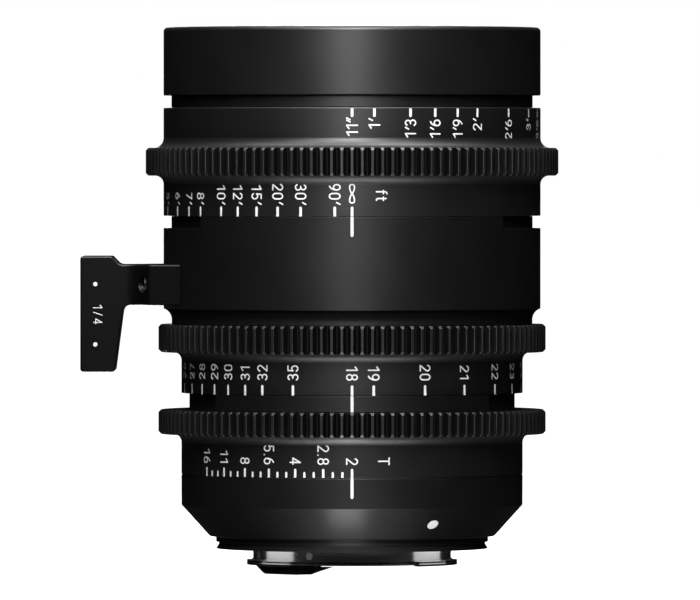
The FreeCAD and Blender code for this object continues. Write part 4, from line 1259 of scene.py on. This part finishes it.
def make_lights():
    """Soft boxes: place, aim, size in metres and radiance; all hidden from the camera."""
    table = cad_box[0].z + 0.0005
    under_table = cad_box[0].z + 0.0001
    middle, below_middle, card_height = (0.0, 0.0, 0.1), (0.0, 0.0, 0.06), -0.001
    wide, narrow = 180.0, 60.0
    boxes = (("key_softbox", (-0.01, -0.5, 0.24), middle, (0.1, 0.1), 36.0),
             ("near_softbox", (-0.01, -0.40, 0.34), (0.0, -0.04, 0.16), (0.08, 0.14), 3.4),
             ("high_softbox", (-0.02, -0.45, 0.62), (0.0, -0.04, 0.1), (0.7, 0.15), 7.5),
             ("overhead_softbox", (-0.02, -0.10, 0.8), middle, (1.0, 0.35), 2.4),
             ("under_front", (0.0, -0.45, -0.42), below_middle, (0.6, 0.12), 4.3),
             ("under_near", (0.0, -0.16, -0.5), below_middle, (0.6, 0.15), 1.8),
             ("low_strip", (-0.002, -0.056, table), (-0.002, -0.056, 1.0), (0.012, 0.03), 4.6),
             ("mark_fill", (0.0, -1.0, 0.05), (0.0, 0.0, 0.04), (0.5, 0.3), 3.3),
             ("dot_fill", (0.1, -0.6, -0.4), (0.02, -0.03, 0.006), (0.3, 0.3), 5.0),
             ("rings_top", (0.03, 0.05, 0.8), middle, (0.5, 0.35), 11.0),
             ("rings_below", (0.0, -0.45, -0.42), below_middle, (0.5, 0.12), 11.0),
             ("back_key", (0.0, 0.5, 0.26), middle, (0.06, 0.14), 45.0),
             ("back_high", (0.0, 0.45, 0.62), (0.0, 0.04, 0.1), (0.08, 0.3), 22.0),
             ("iris_back", (0.0, 0.5, -0.02), (0.0, 0.0, 0.02), (0.08, 0.06), 45.0),
             ("foot_back", (-0.06, 0.45, -0.08), (-0.06, 0.0, 0.06), (0.1, 0.1), 25.0),
             ("under_back", (0.0, 0.45, -0.42), below_middle, (0.08, 0.3), 12.0),
             ("mark_back", (0.0, 1.0, 0.05), (0.0, 0.0, 0.04), (0.08, 0.5), 12.0),
             ("mount_left_card", (-0.305, 0.012, card_height), (0.0, 0.0, card_height), (0.25, 0.02), 1.25),
             ("mount_right_card", (0.302, 0.04, card_height), (0.0, 0.0, card_height), (0.262, 0.02), 1.25),
             ("mount_glow", (0.0, 0.0, under_table), (0.0, 0.0, 1.0), (0.07, 0.07), 0.9))
    receivers = {start: chosen("not_lit_by_" + start, names, "EXCLUDE") for start, names in KEPT_OFF.items()}
    for start, names in LIMITED_TO.items():
        receivers[start] = chosen("lit_by_" + start, names, "INCLUDE")
    for name, spot, target, (width, height), radiance in boxes:
        data = bpy.data.lights.new(name, "AREA")
        data.shape = "RECTANGLE"
        data.size, data.size_y = width, height
        data.energy = radiance * math.pi * width * height
        data.spread = math.radians(narrow if name == "near_softbox" else wide)
        light = show(name, data)
        point_at(light, spot, target)
        light.visible_camera = False
        for start, collection in receivers.items():
            if name.startswith(start):
                light.light_linking.receiver_collection = collection


def make_camera():
    data = bpy.data.cameras.new("camera")
    data.sensor_width = 36.0
    data.lens = CAMERA_LENS
    data.clip_start = 0.1
    data.clip_end = 100.0
    camera = show("camera", data)
    point_at(camera, CAMERA_PLACE, CAMERA_AIM)
    bpy.context.scene.camera = camera


make_world()
make_floor()
make_lights()
make_camera()
bpy.context.scene.view_settings.view_transform = "Standard"
